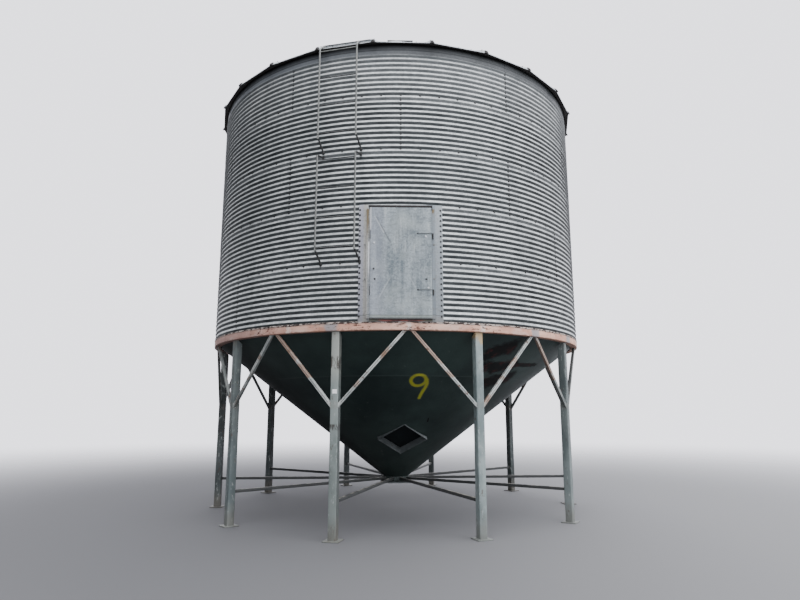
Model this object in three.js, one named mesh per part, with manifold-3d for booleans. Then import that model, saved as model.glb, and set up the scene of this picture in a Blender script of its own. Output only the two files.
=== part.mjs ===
// A hopper-bottom grain bin: a round corrugated steel wall of five tiers on a ring beam, a ribbed
// conical roof with a lid, a door low in the wall, two ladder sections, a steep cone underneath with
// a square hatch, and ten legs with V braces and floor ties to the outlet.
// Millimetres, +Z up. The origin is on the bin's axis at ground level. An azimuth is measured
// from -Y, where the door is, towards +X.
import * as THREE from "three";
import { mergeVertices } from "three/addons/utils/BufferGeometryUtils.js";
import Module from "manifold-3d";

// Gap kept between pieces that rest on each other.
const SEAM = 0.3;

// Wall: eleven corrugations of 2 2/3 inch make a tier, and the sheets are drawn at the
// thickness that their corrugation takes up.
const PITCH = 67.73;
const TIER = 11 * PITCH;
const TIERS = 5;
const WALL_R = 2919;
const WALL_DEPTH = 14;
const WALL_FOOT = 2550;
const EAVE = WALL_FOOT + TIERS * TIER;
const FACETS = 72;

// Ring beam: a rolled channel with its web outwards.
const RING_FOOT = 2450;
const RING_OUT = 2928;
const RING_PLATE = 10;
const RING_FLANGE = 95;

// Hopper cone, given by its underside.
const CONE_APEX = 316;
const CONE_TAN = 0.76;
const CONE_THICK = 10;
const CONE_LIP = 30;
const CONE_LIP_THICK = 8;

// Outlet collar, its flange and the slide gate under it.
const OUTLET_IN = 196;
const OUTLET_OUT = 206;
const OUTLET_FOOT = 398;
const OUTLET_FLANGE_R = 250;
const GATE_THICK = 12;
const GATE_PROUD = 150;
const OUTLET_FACETS = 40;

// Legs: square tubes cut at the top along the cone's slope.
const LEGS = 10;
const LEG_FIRST_AZ = 19.9;
const LEG_SIZE = 100;
const LEG_OUT = 2882;
const LEG_SEAT = 34;
const FOOT_SIZE = 200;
const FOOT_THICK = 12;

// Braces: square tubes from the ring beam at mid-bay down to the legs.
const BRACE_WIDE = 40;
const BRACE_DEEP = 38;
const BRACE_LEG_Z = 1560;
const BRACE_TOP_OFFSET = 46;
const BRACE_TOP_R = 2875;
const BRACE_INSET = 8;
const BRACE_SPARE = 60;

// Floor ties from each leg to the outlet.
const TIE_SIZE = 40;
const TIE_Z = 436;

// Hatch in the cone: a square turned on its corner.
const HATCH_AZ = 4.3;
const HATCH_R = 1010;
const HATCH_SIDE = 523;
const HATCH_WALL = 8;
const HATCH_PROUD = 14;
const HATCH_DEEP = 100;

// Door and its frame, which cover the lower two tiers.
const DOOR_WIDE = 766;
const DOOR_FOOT = WALL_FOOT + 40;
const DOOR_TOP = WALL_FOOT + 1435;
const DOOR_THICK = 22;
const DOOR_GAP = 6;
const DOORWAY_WIDE = 690;
const DOORWAY_FOOT = WALL_FOOT + 85;
const DOORWAY_TOP = WALL_FOOT + 1400;
const FRAME_FACE = 2938;
const FRAME_BACK = 2860;
const FRAME_WIDE = 850;
const FRAME_WING_AZ = 10.3;
const FRAME_WING_THICK = 5;
const CASING_EDGE = 50;

// Hinges: a rod on the door ends in a short barrel that stands on a longer one on the frame.
const HINGE_ZS = [2933, 3643];
const HINGE_R = 9;
const BARREL_TALL = 60;
const ROD_TALL = 12;
const ROD_LONG = 176;
const ROD_THICK = 8;
const HINGE_GAP = SEAM / 2;
const HINGE_CLEAR = 6;

// Roof: 24 flat panels, with a rib over each joint. A panel's distance out is taken at its middle.
const ROOF_TAN = Math.tan(THREE.MathUtils.degToRad(30));
const ROOF_OVERHANG = 55;
const ROOF_THICK = 10;
const ROOF_DROP = 26;
const CURB_WIDE = 20;
const ROOF_HOLE_R = 340;
const RIBS = 24;
const RIB_AZ = 8;
const PANEL_COS = Math.cos(Math.PI / RIBS);
const RIB_START_R = 400;
const RIB_END_R = 3018;
const RIB_BASE = 64;
const RIB_TOP = 22;
const RIB_TALL = 36;
const RIB_SUNK = 6;

// Filler neck on the roof's hole, and its lid.
const NECK_WALL = 8;
const NECK_FLANGE = 30;
const NECK_TOP = 7990;
const LID_R = 400;
const LID_RIM = 10;
const LID_SKIRT = 40;
const LID_EDGE = 20;
const LID_CROWN_R = 260;
const LID_TALL = 110;

// Roof hatch: a low curbed lid on the panel over the ladder.
const HATCHWAY_AZ = RIB_AZ - 1.5 * (360 / RIBS);
const HATCHWAY_OUT = 2870;
const HATCHWAY_LONG = 600;
const HATCHWAY_TALL = 50;
const HATCHWAY_LID = 12;
const HATCHWAY_LIP = 14;

// Ladder sections: two stiles that bend in to pads on the wall, and round rungs. The upper
// section's stiles bend over the eave instead.
const STILES = [
  { azimuth: -20.1, padAzimuth: -20 },
  { azimuth: -10.65, padAzimuth: -10 },
];
const STILE_R = 12;
const STILE_STAND_OFF = 175;
const STILE_RISE = 145;
const STILE_DROP = 35;
const PAD_WIDE = 34;
const PAD_TALL = 50;
const BEND_R = 2990;
const BEND_LIFT = 8;
const OVER_EAVE_R = 2930;
const RUNG_R = 7;
const RUNG_PITCH = 386;
const RUNGS = 4;
const LADDERS = [
  { name: "ladder_lower", foot: WALL_FOOT + 750, top: WALL_FOOT + 2140, first: WALL_FOOT + 915 },
  { name: "ladder_upper", foot: WALL_FOOT + 2240, top: EAVE - 100, first: WALL_FOOT + 2430 },
];

const wasm = await Module();
wasm.setup();

const rad = THREE.MathUtils.degToRad;

function material(color, roughness, metalness) {
  return new THREE.MeshStandardMaterial({ color, roughness, metalness });
}

const galvanised = material(0x9da3a4, 0.45, 0.75);
const darkGalvanised = material(0x70767a, 0.5, 0.7);
const primer = material(0xb59a94, 0.8, 0.1);
const bluePaint = material(0x8b9ba3, 0.7, 0.2);
const greyBar = material(0x9a9c98, 0.7, 0.3);
const darkPaint = material(0x1c2423, 0.6, 0.2);
const doorSteel = material(0xa3adb5, 0.4, 0.7);

// A closed three.js geometry as a solid that can be joined and cut.
function solid(geometry) {
  const bare = geometry.clone();
  bare.deleteAttribute("normal");
  bare.deleteAttribute("uv");
  const merged = mergeVertices(bare, 1e-3);
  return new wasm.Manifold(
    new wasm.Mesh({
      numProp: 3,
      vertProperties: new Float32Array(merged.attributes.position.array),
      triVerts: new Uint32Array(merged.index.array),
    }),
  );
}

function geometryOf(body) {
  const mesh = body.getMesh();
  const geometry = new THREE.BufferGeometry();
  geometry.setAttribute("position", new THREE.BufferAttribute(mesh.vertProperties, 3));
  geometry.setIndex(new THREE.BufferAttribute(mesh.triVerts, 1));
  geometry.computeVertexNormals();
  return geometry;
}

function join(first, ...others) {
  return others.reduce((all, other) => all.add(other), first);
}

// A box between two corners, turned about the bin's axis to an azimuth. At azimuth 0 its
// x runs across, y is the distance out from the axis, and z is the height.
function box(low, high, azimuth = 0) {
  const size = low.map((v, i) => high[i] - v);
  const geometry = new THREE.BoxGeometry(...size);
  geometry.translate((low[0] + high[0]) / 2, -(low[1] + high[1]) / 2, (low[2] + high[2]) / 2);
  geometry.rotateZ(rad(azimuth));
  return solid(geometry);
}

// A point given by azimuth, distance out, height and an offset across.
function place(azimuth, out, z, across = 0) {
  return new THREE.Vector3(across, -out, z).applyAxisAngle(new THREE.Vector3(0, 0, 1), rad(azimuth));
}

// A ring from a closed profile of [radius, height] points that runs anticlockwise.
function ring(profile, facets = FACETS) {
  const points = [...profile, profile[0]].map(([r, z]) => new THREE.Vector2(r, z));
  return solid(new THREE.LatheGeometry(points, facets).rotateX(Math.PI / 2));
}

// A ring of flat panels with its corners at the ribs; radii are taken at the panels' middles.
function panelRing(profile) {
  const points = [...profile, profile[0]].map(([r, z]) => new THREE.Vector2(r / PANEL_COS, z));
  const geometry = new THREE.LatheGeometry(points, RIBS).rotateX(Math.PI / 2);
  return solid(geometry.rotateZ(rad(RIB_AZ)));
}

// A straight bar of square section between two points; up is the side that its height faces.
function bar(from, to, wide, deep, up) {
  const along = new THREE.Vector3().subVectors(to, from);
  const length = along.length();
  along.normalize();
  const across = new THREE.Vector3().crossVectors(up, along).normalize();
  const top = new THREE.Vector3().crossVectors(along, across);
  const geometry = new THREE.BoxGeometry(deep, wide, length);
  const middle = new THREE.Vector3().addVectors(from, to).multiplyScalar(0.5);
  geometry.applyMatrix4(new THREE.Matrix4().makeBasis(across, top, along).setPosition(middle));
  return solid(geometry);
}

// A round rod along a list of points, with a small ball at each bend.
function rod(points, radius, sides = 8) {
  const pieces = [];
  for (let i = 1; i < points.length; i += 1) {
    const along = new THREE.Vector3().subVectors(points[i], points[i - 1]);
    const geometry = new THREE.CylinderGeometry(radius, radius, along.length(), sides);
    const turn = new THREE.Quaternion().setFromUnitVectors(
      new THREE.Vector3(0, 1, 0),
      along.clone().normalize(),
    );
    const middle = new THREE.Vector3().addVectors(points[i], points[i - 1]).multiplyScalar(0.5);
    geometry.applyMatrix4(new THREE.Matrix4().compose(middle, turn, new THREE.Vector3(1, 1, 1)));
    pieces.push(solid(geometry));
    if (i > 1) {
      const elbow = new THREE.SphereGeometry(radius * 1.02, sides, sides / 2);
      elbow.translate(...points[i - 1].toArray());
      pieces.push(solid(elbow));
    }
  }
  return join(...pieces);
}

function coneUnderside(r) {
  return CONE_APEX + CONE_TAN * r;
}

const bin = new THREE.Group();
const door = new THREE.Group();
bin.add(door);

function add(name, body, look, group = bin) {
  const mesh = new THREE.Mesh(geometryOf(body), look);
  mesh.name = name;
  group.add(mesh);
  return mesh;
}

// Past the wall on both sides, for cuts that go right through it.
const CUT_IN = 2600;
const CUT_OUT = 3200;
const doorwayCut = box(
  [-FRAME_WIDE / 2 - SEAM, CUT_IN, DOORWAY_FOOT - CASING_EDGE],
  [FRAME_WIDE / 2 + SEAM, CUT_OUT, DOORWAY_TOP + CASING_EDGE],
);

function addWall() {
  const inside = WALL_R - WALL_DEPTH / 2;
  const outside = WALL_R + WALL_DEPTH / 2;
  for (let tier = 0; tier < TIERS; tier += 1) {
    const foot = WALL_FOOT + tier * TIER + SEAM;
    const top = WALL_FOOT + (tier + 1) * TIER;
    let body = ring([[outside, foot], [outside, top], [inside, top], [inside, foot]]);
    if (tier < 2) body = body.subtract(doorwayCut);
    add("wall_tier_" + (tier + 1), body, galvanised);
  }
}

function addRingBeam() {
  const web = RING_OUT - RING_PLATE;
  const lip = WALL_R - WALL_DEPTH / 2;
  const body = ring([
    [RING_OUT - RING_FLANGE, RING_FOOT],
    [RING_OUT, RING_FOOT],
    [RING_OUT, WALL_FOOT],
    [lip, WALL_FOOT],
    [lip, WALL_FOOT - RING_PLATE],
    [web, WALL_FOOT - RING_PLATE],
    [web, RING_FOOT + RING_PLATE],
    [RING_OUT - RING_FLANGE, RING_FOOT + RING_PLATE],
  ]);
  add("ring_beam", body, primer);
}

// A square prism through the cone at the hatch, turned on its corner, from a depth under the
// cone's underside to a depth above it.
function hatchPrism(side, below, above) {
  const slope = Math.atan(CONE_TAN);
  const geometry = new THREE.BoxGeometry(side, side, above + below);
  geometry.translate(0, 0, (above - below) / 2);
  geometry.rotateZ(Math.PI / 4);
  geometry.rotateX(-slope);
  const centre = place(HATCH_AZ, HATCH_R, coneUnderside(HATCH_R));
  geometry.rotateZ(rad(HATCH_AZ));
  geometry.translate(...centre.toArray());
  return solid(geometry);
}

function addCone() {
  const outer = WALL_R - WALL_DEPTH / 2 - SEAM;
  const inner = OUTLET_IN;
  const top = outer - CONE_LIP_THICK;
  const rise = CONE_THICK / Math.cos(Math.atan(CONE_TAN));
  const body = ring([
    [inner, coneUnderside(inner)],
    [outer, coneUnderside(outer)],
    [outer, WALL_FOOT + CONE_LIP],
    [top, WALL_FOOT + CONE_LIP],
    [top, coneUnderside(top) + rise],
    [inner, coneUnderside(inner) + rise],
  ]).subtract(hatchPrism(HATCH_SIDE + 2 * SEAM, HATCH_DEEP, HATCH_DEEP));
  add("hopper_cone", body, darkPaint);
}

function addHatch() {
  const inside = HATCH_SIDE - 2 * HATCH_WALL;
  const frame = hatchPrism(HATCH_SIDE, HATCH_PROUD, HATCH_DEEP)
    .subtract(hatchPrism(inside, 2 * HATCH_PROUD, 2 * HATCH_DEEP));
  add("hatch_frame", frame, darkGalvanised);
  const coverDepth = HATCH_DEEP - HATCH_WALL;
  add("hatch_cover", hatchPrism(inside - 2 * SEAM, -coverDepth, HATCH_DEEP), darkPaint);
}

function addOutlet() {
  const top = coneUnderside(OUTLET_IN) - SEAM;
  const collar = ring([
    [OUTLET_IN, OUTLET_FOOT],
    [OUTLET_FLANGE_R, OUTLET_FOOT],
    [OUTLET_FLANGE_R, OUTLET_FOOT + RING_PLATE],
    [OUTLET_OUT, OUTLET_FOOT + RING_PLATE],
    [OUTLET_OUT, top],
    [OUTLET_IN, top],
  ], OUTLET_FACETS);
  add("outlet_collar", collar, darkPaint);
  const gate = box(
    [-OUTLET_FLANGE_R, -OUTLET_FLANGE_R, OUTLET_FOOT - SEAM - GATE_THICK],
    [OUTLET_FLANGE_R, OUTLET_FLANGE_R + GATE_PROUD, OUTLET_FOOT - SEAM],
  );
  add("slide_gate", gate, darkGalvanised);
}

// The space of a leg and a little in front of and behind it, which a brace is cut back from.
function legReach(azimuth) {
  const half = LEG_SIZE / 2 + SEAM;
  return box([-half, LEG_OUT - 2 * LEG_SIZE, 0], [half, LEG_OUT + LEG_SIZE, RING_FOOT], azimuth);
}

function addLegs() {
  const seatOut = LEG_OUT - LEG_SEAT;
  const low = LEG_SIZE - LEG_SEAT;
  for (let k = 0; k < LEGS; k += 1) {
    const azimuth = LEG_FIRST_AZ + (k * 360) / LEGS;
    const half = LEG_SIZE / 2;
    const top = RING_FOOT - SEAM;
    const side = new THREE.Shape([
      new THREE.Vector2(LEG_OUT, FOOT_THICK - 1),
      new THREE.Vector2(LEG_OUT, top),
      new THREE.Vector2(seatOut, top),
      new THREE.Vector2(seatOut - low, top - low * CONE_TAN),
      new THREE.Vector2(seatOut - low, FOOT_THICK - 1),
    ]);
    const tube = new THREE.ExtrudeGeometry(side, { depth: LEG_SIZE, bevelEnabled: false });
    tube.translate(0, 0, -half);
    tube.rotateX(Math.PI / 2);
    tube.rotateZ(rad(azimuth - 90));
    const middle = LEG_OUT - half;
    const foot = box(
      [-FOOT_SIZE / 2, middle - FOOT_SIZE / 2, 0],
      [FOOT_SIZE / 2, middle + FOOT_SIZE / 2, FOOT_THICK],
      azimuth,
    );
    add("leg_" + String(k + 1).padStart(2, "0"), join(solid(tube), foot), bluePaint);
  }
}

function addBraces() {
  const ceiling = box([-CUT_OUT, -CUT_OUT, RING_FOOT - SEAM], [CUT_OUT, CUT_OUT, WALL_FOOT]);
  for (let k = 0; k < LEGS; k += 1) {
    for (const side of [-1, 1]) {
      const legAz = LEG_FIRST_AZ + (k * 360) / LEGS;
      const bayAz = legAz - (side * 180) / LEGS;
      const top = place(bayAz, BRACE_TOP_R, RING_FOOT, side * BRACE_TOP_OFFSET);
      const footOut = LEG_OUT - BRACE_DEEP / 2 - BRACE_INSET;
      const foot = place(legAz, footOut, BRACE_LEG_Z, (-side * LEG_SIZE) / 2);
      const along = new THREE.Vector3().subVectors(foot, top).normalize();
      const from = top.clone().addScaledVector(along, -BRACE_SPARE);
      const to = foot.clone().addScaledVector(along, LEG_SIZE * 0.45);
      const out = place((bayAz + legAz) / 2, 1, 0);
      const body = bar(from, to, BRACE_DEEP, BRACE_WIDE, out)
        .subtract(ceiling)
        .subtract(legReach(legAz));
      const name = "brace_" + String(k + 1).padStart(2, "0") + (side < 0 ? "_left" : "_right");
      add(name, body, greyBar);
    }
  }
}

function addTies() {
  for (let k = 0; k < LEGS; k += 1) {
    const azimuth = LEG_FIRST_AZ + (k * 360) / LEGS;
    const half = TIE_SIZE / 2;
    const body = box(
      [-half, OUTLET_OUT + SEAM, TIE_Z - half],
      [half, LEG_OUT - LEG_SIZE - SEAM, TIE_Z + half],
      azimuth,
    );
    add("floor_tie_" + String(k + 1).padStart(2, "0"), body, darkPaint);
  }
}

function addDoorFrame() {
  const wallOut = WALL_R + WALL_DEPTH / 2 + SEAM;
  const foot = WALL_FOOT + SEAM;
  const top = WALL_FOOT + 2 * TIER;
  const wingReach = wallOut * Math.sin(rad(FRAME_WING_AZ));
  const wings = ring([
    [wallOut, foot],
    [wallOut + FRAME_WING_THICK, foot],
    [wallOut + FRAME_WING_THICK, top],
    [wallOut, top],
  ]).intersect(box([-wingReach, CUT_IN, foot - 1], [wingReach, CUT_OUT, top + 1]));
  const casing = box(
    [-FRAME_WIDE / 2, FRAME_BACK, DOORWAY_FOOT - CASING_EDGE + SEAM],
    [FRAME_WIDE / 2, FRAME_FACE, DOORWAY_TOP + CASING_EDGE - SEAM],
  );
  const opening = box(
    [-DOORWAY_WIDE / 2, CUT_IN, DOORWAY_FOOT],
    [DOORWAY_WIDE / 2, CUT_OUT, DOORWAY_TOP],
  );
  const leaves = HINGE_ZS.flatMap((z) => [
    box(
      [hingeX - HINGE_R + 2, FRAME_FACE - FRAME_WING_THICK, z - BARREL_TALL],
      [hingeX + HINGE_R, hingeOut, z - 2],
    ),
    hingeBarrel(z - BARREL_TALL, z - HINGE_GAP),
  ]);
  add("door_frame", join(wings, casing, ...leaves).subtract(opening), doorSteel);
}

const hingeX = DOOR_WIDE / 2 + HINGE_R + HINGE_CLEAR;
const hingeOut = FRAME_FACE + DOOR_GAP + DOOR_THICK - HINGE_R;

// One barrel of a hinge, between two heights.
function hingeBarrel(foot, top) {
  const barrel = new THREE.CylinderGeometry(HINGE_R, HINGE_R, top - foot, 16);
  barrel.rotateX(Math.PI / 2);
  barrel.translate(hingeX, -hingeOut, (foot + top) / 2);
  return solid(barrel);
}

function addDoor() {
  const face = FRAME_FACE + DOOR_GAP;
  const front = face + DOOR_THICK;
  const panel = box([-DOOR_WIDE / 2, face, DOOR_FOOT], [DOOR_WIDE / 2, front, DOOR_TOP]);
  const rods = HINGE_ZS.flatMap((z) => {
    const rod = box(
      [DOOR_WIDE / 2 - ROD_LONG, front - 1, z + HINGE_GAP],
      [hingeX, front + ROD_THICK, z + ROD_TALL],
    );
    return [rod, hingeBarrel(z + HINGE_GAP, z + ROD_TALL)];
  });
  add("door", join(panel, ...rods), doorSteel, door);
}

const roofEdge = WALL_R + ROOF_OVERHANG;
const roofRise = ROOF_THICK / Math.cos(Math.atan(ROOF_TAN));

// The height of the roof sheet's underside at a distance out from the axis.
function roofHeight(r) {
  return EAVE - ROOF_DROP + (roofEdge - r) * ROOF_TAN;
}

// The height of the underside along a joint between two panels, where the ribs are.
function jointHeight(r) {
  return roofHeight(r * PANEL_COS);
}

function addRib(k) {
  const height = (r) => jointHeight(r) + roofRise;
  const azimuth = RIB_AZ + (k * 360) / RIBS;
  const low = place(azimuth, RIB_END_R, height(RIB_END_R));
  const high = place(azimuth, RIB_START_R, height(RIB_START_R));
  const section = new THREE.Shape([
    new THREE.Vector2(-RIB_BASE / 2, -RIB_SUNK),
    new THREE.Vector2(RIB_BASE / 2, -RIB_SUNK),
    new THREE.Vector2(RIB_TOP / 2, RIB_TALL),
    new THREE.Vector2(-RIB_TOP / 2, RIB_TALL),
  ]);
  const length = low.distanceTo(high);
  const rib = new THREE.ExtrudeGeometry(section, { depth: length, bevelEnabled: false });
  const along = new THREE.Vector3().subVectors(high, low).normalize();
  const across = place(azimuth, 0, 0, -1);
  const up = new THREE.Vector3().crossVectors(along, across);
  rib.applyMatrix4(new THREE.Matrix4().makeBasis(across, up, along).setPosition(low));
  return solid(rib);
}

function addRoof() {
  const sheet = panelRing([
    [roofEdge, roofHeight(roofEdge)],
    [roofEdge, roofHeight(roofEdge) + roofRise],
    [ROOF_HOLE_R, roofHeight(ROOF_HOLE_R) + roofRise],
    [ROOF_HOLE_R, roofHeight(ROOF_HOLE_R)],
  ]);
  // The seat follows the wall round, and is cut off inside the panels.
  const seatOut = WALL_R + WALL_DEPTH / 2;
  const seatIn = seatOut - CURB_WIDE;
  const above = panelRing([
    [seatIn - LEG_SIZE, roofHeight(seatIn - LEG_SIZE) + roofRise / 2],
    [seatOut + LEG_SIZE, roofHeight(seatOut + LEG_SIZE) + roofRise / 2],
    [seatOut + LEG_SIZE, EAVE + TIER],
    [seatIn - LEG_SIZE, EAVE + TIER],
  ]);
  const seat = ring([
    [seatIn, EAVE + SEAM],
    [seatOut, EAVE + SEAM],
    [seatOut, EAVE + CASING_EDGE],
    [seatIn, EAVE + CASING_EDGE],
  ]).subtract(above);
  const ribs = [];
  for (let k = 0; k < RIBS; k += 1) ribs.push(addRib(k));
  add("roof", join(sheet, seat, ...ribs), galvanised);
  addNeckAndLid();
  addRoofHatch();
}

// Half the clear width between two ribs at a distance out.
function panelHalf(out) {
  return out * Math.tan(Math.PI / RIBS) - RIB_BASE / 2;
}

// A slab on the ladder's panel, from its low end to its high end.
function panelSlab(low, high, inset, under, over) {
  const plan = new THREE.Shape([
    new THREE.Vector2(-panelHalf(low) + inset, -low),
    new THREE.Vector2(panelHalf(low) - inset, -low),
    new THREE.Vector2(panelHalf(high) - inset, -high),
    new THREE.Vector2(-panelHalf(high) + inset, -high),
  ]);
  const slab = new THREE.ExtrudeGeometry(plan, { depth: over - under, bevelEnabled: false });
  slab.translate(0, 0, under);
  // The slab is sheared so that it follows the slope while its sides stay upright.
  const shear = new THREE.Matrix4().makeShear(0, 0, 0, ROOF_TAN, 0, 0);
  slab.applyMatrix4(shear);
  slab.translate(0, 0, roofHeight(0));
  slab.rotateZ(rad(HATCHWAY_AZ));
  return solid(slab);
}

function addRoofHatch() {
  const low = HATCHWAY_OUT;
  const high = HATCHWAY_OUT - HATCHWAY_LONG;
  const top = roofRise + HATCHWAY_TALL;
  const lip = HATCHWAY_LIP;
  const curb = panelSlab(low - lip, high + lip, lip, roofRise + SEAM, top - HATCHWAY_LID + 1);
  const lid = panelSlab(low, high, 0, top - HATCHWAY_LID, top);
  add("roof_hatch", join(curb, lid), darkGalvanised);
}

function addNeckAndLid() {
  const foot = roofHeight(ROOF_HOLE_R) - NECK_WALL;
  const seat = roofHeight(ROOF_HOLE_R) + roofRise + SEAM;
  const outside = ROOF_HOLE_R - SEAM;
  const neck = ring([
    [outside - NECK_WALL, foot],
    [outside, foot],
    [outside, seat],
    [outside + NECK_FLANGE, seat],
    [outside + NECK_FLANGE, seat + NECK_WALL],
    [outside, seat + NECK_WALL],
    [outside, NECK_TOP],
    [outside - NECK_WALL, NECK_TOP],
  ]);
  add("filler_neck", neck, galvanised);
  const base = NECK_TOP + SEAM;
  const lid = ring([
    [0, base],
    [LID_R - LID_RIM, base],
    [LID_R - LID_RIM, base - LID_SKIRT],
    [LID_R, base - LID_SKIRT],
    [LID_R, base + LID_EDGE],
    [LID_CROWN_R, base + LID_TALL * 0.75],
    [0, base + LID_TALL],
  ]);
  add("filler_lid", lid, galvanised);
}

function addLadders() {
  const wallOut = WALL_R + WALL_DEPTH / 2 + SEAM;
  const out = WALL_R + STILE_STAND_OFF;
  for (const { name, foot, top, first } of LADDERS) {
    const pieces = STILES.flatMap(({ azimuth, padAzimuth }) => {
      const onFrame = padAzimuth > -FRAME_WING_AZ && foot < DOORWAY_TOP;
      const seat = onFrame ? wallOut + FRAME_WING_THICK + SEAM : wallOut;
      const path = [
        place(padAzimuth, seat + STILE_R + 1, foot),
        place(azimuth, out, foot + STILE_RISE),
        place(azimuth, out, top),
      ];
      const pads = [ladderPad(padAzimuth, seat, foot)];
      if (top + TIER < EAVE) {
        path.push(place(padAzimuth, wallOut + STILE_R + 1, top + STILE_DROP));
        pads.push(ladderPad(padAzimuth, wallOut, top + STILE_DROP));
      } else {
        const panelR = OVER_EAVE_R * Math.cos(rad(azimuth - HATCHWAY_AZ));
        const seatZ = roofHeight(panelR) + roofRise + STILE_R * Math.hypot(1, ROOF_TAN) + 1;
        path.push(place(azimuth, BEND_R, EAVE + BEND_LIFT));
        path.push(place(azimuth, OVER_EAVE_R, seatZ));
      }
      return [rod(path, STILE_R), ...pads];
    });
    for (let k = 0; k < RUNGS; k += 1) {
      const ends = STILES.map(({ azimuth }) => place(azimuth, out, first + k * RUNG_PITCH));
      pieces.push(rod(ends, RUNG_R, 6));
    }
    add(name, join(...pieces), galvanised);
  }
}

// A flat pad on the wall that a stile's end is bolted through.
function ladderPad(azimuth, seat, z) {
  return box(
    [-PAD_WIDE / 2, seat, z - PAD_TALL / 2],
    [PAD_WIDE / 2, seat + STILE_R, z + PAD_TALL / 2],
    azimuth,
  );
}

addLegs();
addBraces();
addTies();
addOutlet();
addCone();
addHatch();
addRingBeam();
addWall();
addDoorFrame();
addDoor();
addLadders();
addRoof();

export default bin;
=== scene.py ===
# %% [markdown]
# # A hopper-bottom grain bin
#
# The bin is a drum of corrugated galvanised sheets, bolted together and set on a ring beam. A steep
# painted cone hangs in the ring, and ten square legs with V braces carry it. This lesson dresses the
# construction model of that bin: the model fixes every place and size, and each cell below makes one
# piece finer or gives it a finish.

# %% Load the frame
import math
import bmesh
import bpy
from mathutils import Matrix, Vector, noise


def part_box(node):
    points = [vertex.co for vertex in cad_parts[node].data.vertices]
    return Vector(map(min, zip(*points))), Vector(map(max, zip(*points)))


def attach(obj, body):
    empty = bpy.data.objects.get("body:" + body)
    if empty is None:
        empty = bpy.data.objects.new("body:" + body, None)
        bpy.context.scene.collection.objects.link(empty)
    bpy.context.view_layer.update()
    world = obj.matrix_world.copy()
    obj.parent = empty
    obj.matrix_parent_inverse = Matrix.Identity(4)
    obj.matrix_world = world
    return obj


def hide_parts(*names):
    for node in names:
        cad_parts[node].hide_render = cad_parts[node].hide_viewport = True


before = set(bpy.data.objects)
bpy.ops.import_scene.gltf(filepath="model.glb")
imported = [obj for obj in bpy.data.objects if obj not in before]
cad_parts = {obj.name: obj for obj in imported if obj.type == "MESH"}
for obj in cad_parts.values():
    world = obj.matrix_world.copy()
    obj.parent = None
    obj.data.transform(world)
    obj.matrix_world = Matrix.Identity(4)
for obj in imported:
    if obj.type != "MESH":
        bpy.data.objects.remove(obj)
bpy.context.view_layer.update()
scene = bpy.context.scene
print("nodes in the frame:", len(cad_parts))

# %% [markdown]
# ## Sizes
#
# Heights come from the frame, so that a change there moves the pieces here. The rest repeats the
# driving sizes of the construction, in metres. A place is given by its azimuth (degrees from the
# door, turning towards +X), its distance out from the axis, and its height. Each tier has six sheets,
# and `SEAM_FIRST` gives, tier by tier from below, the azimuth where one of them ends.

# %% Heights and radii
WALL_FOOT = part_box("ring_beam")[1].z
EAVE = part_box("wall_tier_5")[1].z
TIERS = 5
DOOR_TIERS = 2
WAVES = 11
SHEETS = 6
SHEET_DEG = 360 / SHEETS
SEAM_FIRST = (10.0, -10.0, 30.0, 0.0, 30.0)
TIER = (EAVE - WALL_FOOT) / TIERS
PITCH = TIER / WAVES
WALL_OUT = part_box("wall_tier_4")[1].x
WALL_DEPTH = 0.014
WALL_R = WALL_OUT - WALL_DEPTH / 2
WAVE = 0.00635
SHEET = 0.0012
PLAIN_FOOT = EAVE - 2.6 * PITCH
RING_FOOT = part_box("ring_beam")[0].z
RING_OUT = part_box("ring_beam")[1].x
BRACE_LEG_Z = 1.560
GAP = 0.0003
print(f"wall {WALL_FOOT:.3f} to {EAVE:.3f} m, wave pitch {PITCH * 1000:.1f} mm, ring {RING_OUT:.3f} m")


def place(azimuth, out, z, across=0.0):
    """The point at an azimuth, a distance out and a height, moved sideways by across."""
    angle = math.radians(azimuth)
    return Vector((out * math.sin(angle) + across * math.cos(angle),
                   -out * math.cos(angle) + across * math.sin(angle), z))


def outward(azimuth):
    """The direction away from the axis at an azimuth."""
    return place(azimuth, 1.0, 0.0)


def from_front(azimuth):
    """The same azimuth as a number from -180 to 180, so that its size is the way from the door."""
    return (azimuth + 180.0) % 360.0 - 180.0


def below_eave(waves):
    """A height, counted in waves of the wall down from the eave."""
    return EAVE - waves * PITCH


# %% [markdown]
# ## Camera
#
# The picture was taken at eye level, ten metres from the axis, with a wide lens. The camera stands
# there and looks up a little. Its heading and its pitch are in radians.

# %% Camera
CAMERA_AT = Vector((-0.194, -10.104, 1.4805))
CAMERA_HEADING = 0.025727
CAMERA_PITCH = 0.184018
lens = bpy.data.cameras.new("camera")
lens.sensor_width = 36.0
lens.lens = 27.0
lens.clip_end = 200.0
camera = bpy.data.objects.new("camera", lens)
camera.location = CAMERA_AT
camera.rotation_euler = (math.pi / 2 + CAMERA_PITCH, 0.0, -CAMERA_HEADING)
scene.collection.objects.link(camera)
scene.camera = camera

# %% [markdown]
# ## Node trees as expressions
#
# A shader is a formula, and wiring it by hand hides that. The class below wraps one socket, so that
# `1 - mask * 0.5` adds the two Math nodes that say the same thing. Geometry trees take the same Math
# nodes, so both kinds of tree share it.


# %% Sockets with operators
class Value:
    """One output socket. Arithmetic on it adds Math nodes to its tree."""

    def __init__(self, graph, socket):
        self.graph = graph
        self.socket = socket

    def __add__(self, other):
        return self.graph.math("ADD", self, other)

    __radd__ = __add__

    def __sub__(self, other):
        return self.graph.math("SUBTRACT", self, other)

    def __rsub__(self, other):
        return self.graph.math("SUBTRACT", other, self)

    def __mul__(self, other):
        return self.graph.math("MULTIPLY", self, other)

    __rmul__ = __mul__

    def __truediv__(self, other):
        return self.graph.math("DIVIDE", self, other)

    def __neg__(self):
        return self.graph.math("MULTIPLY", self, -1.0)


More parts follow.
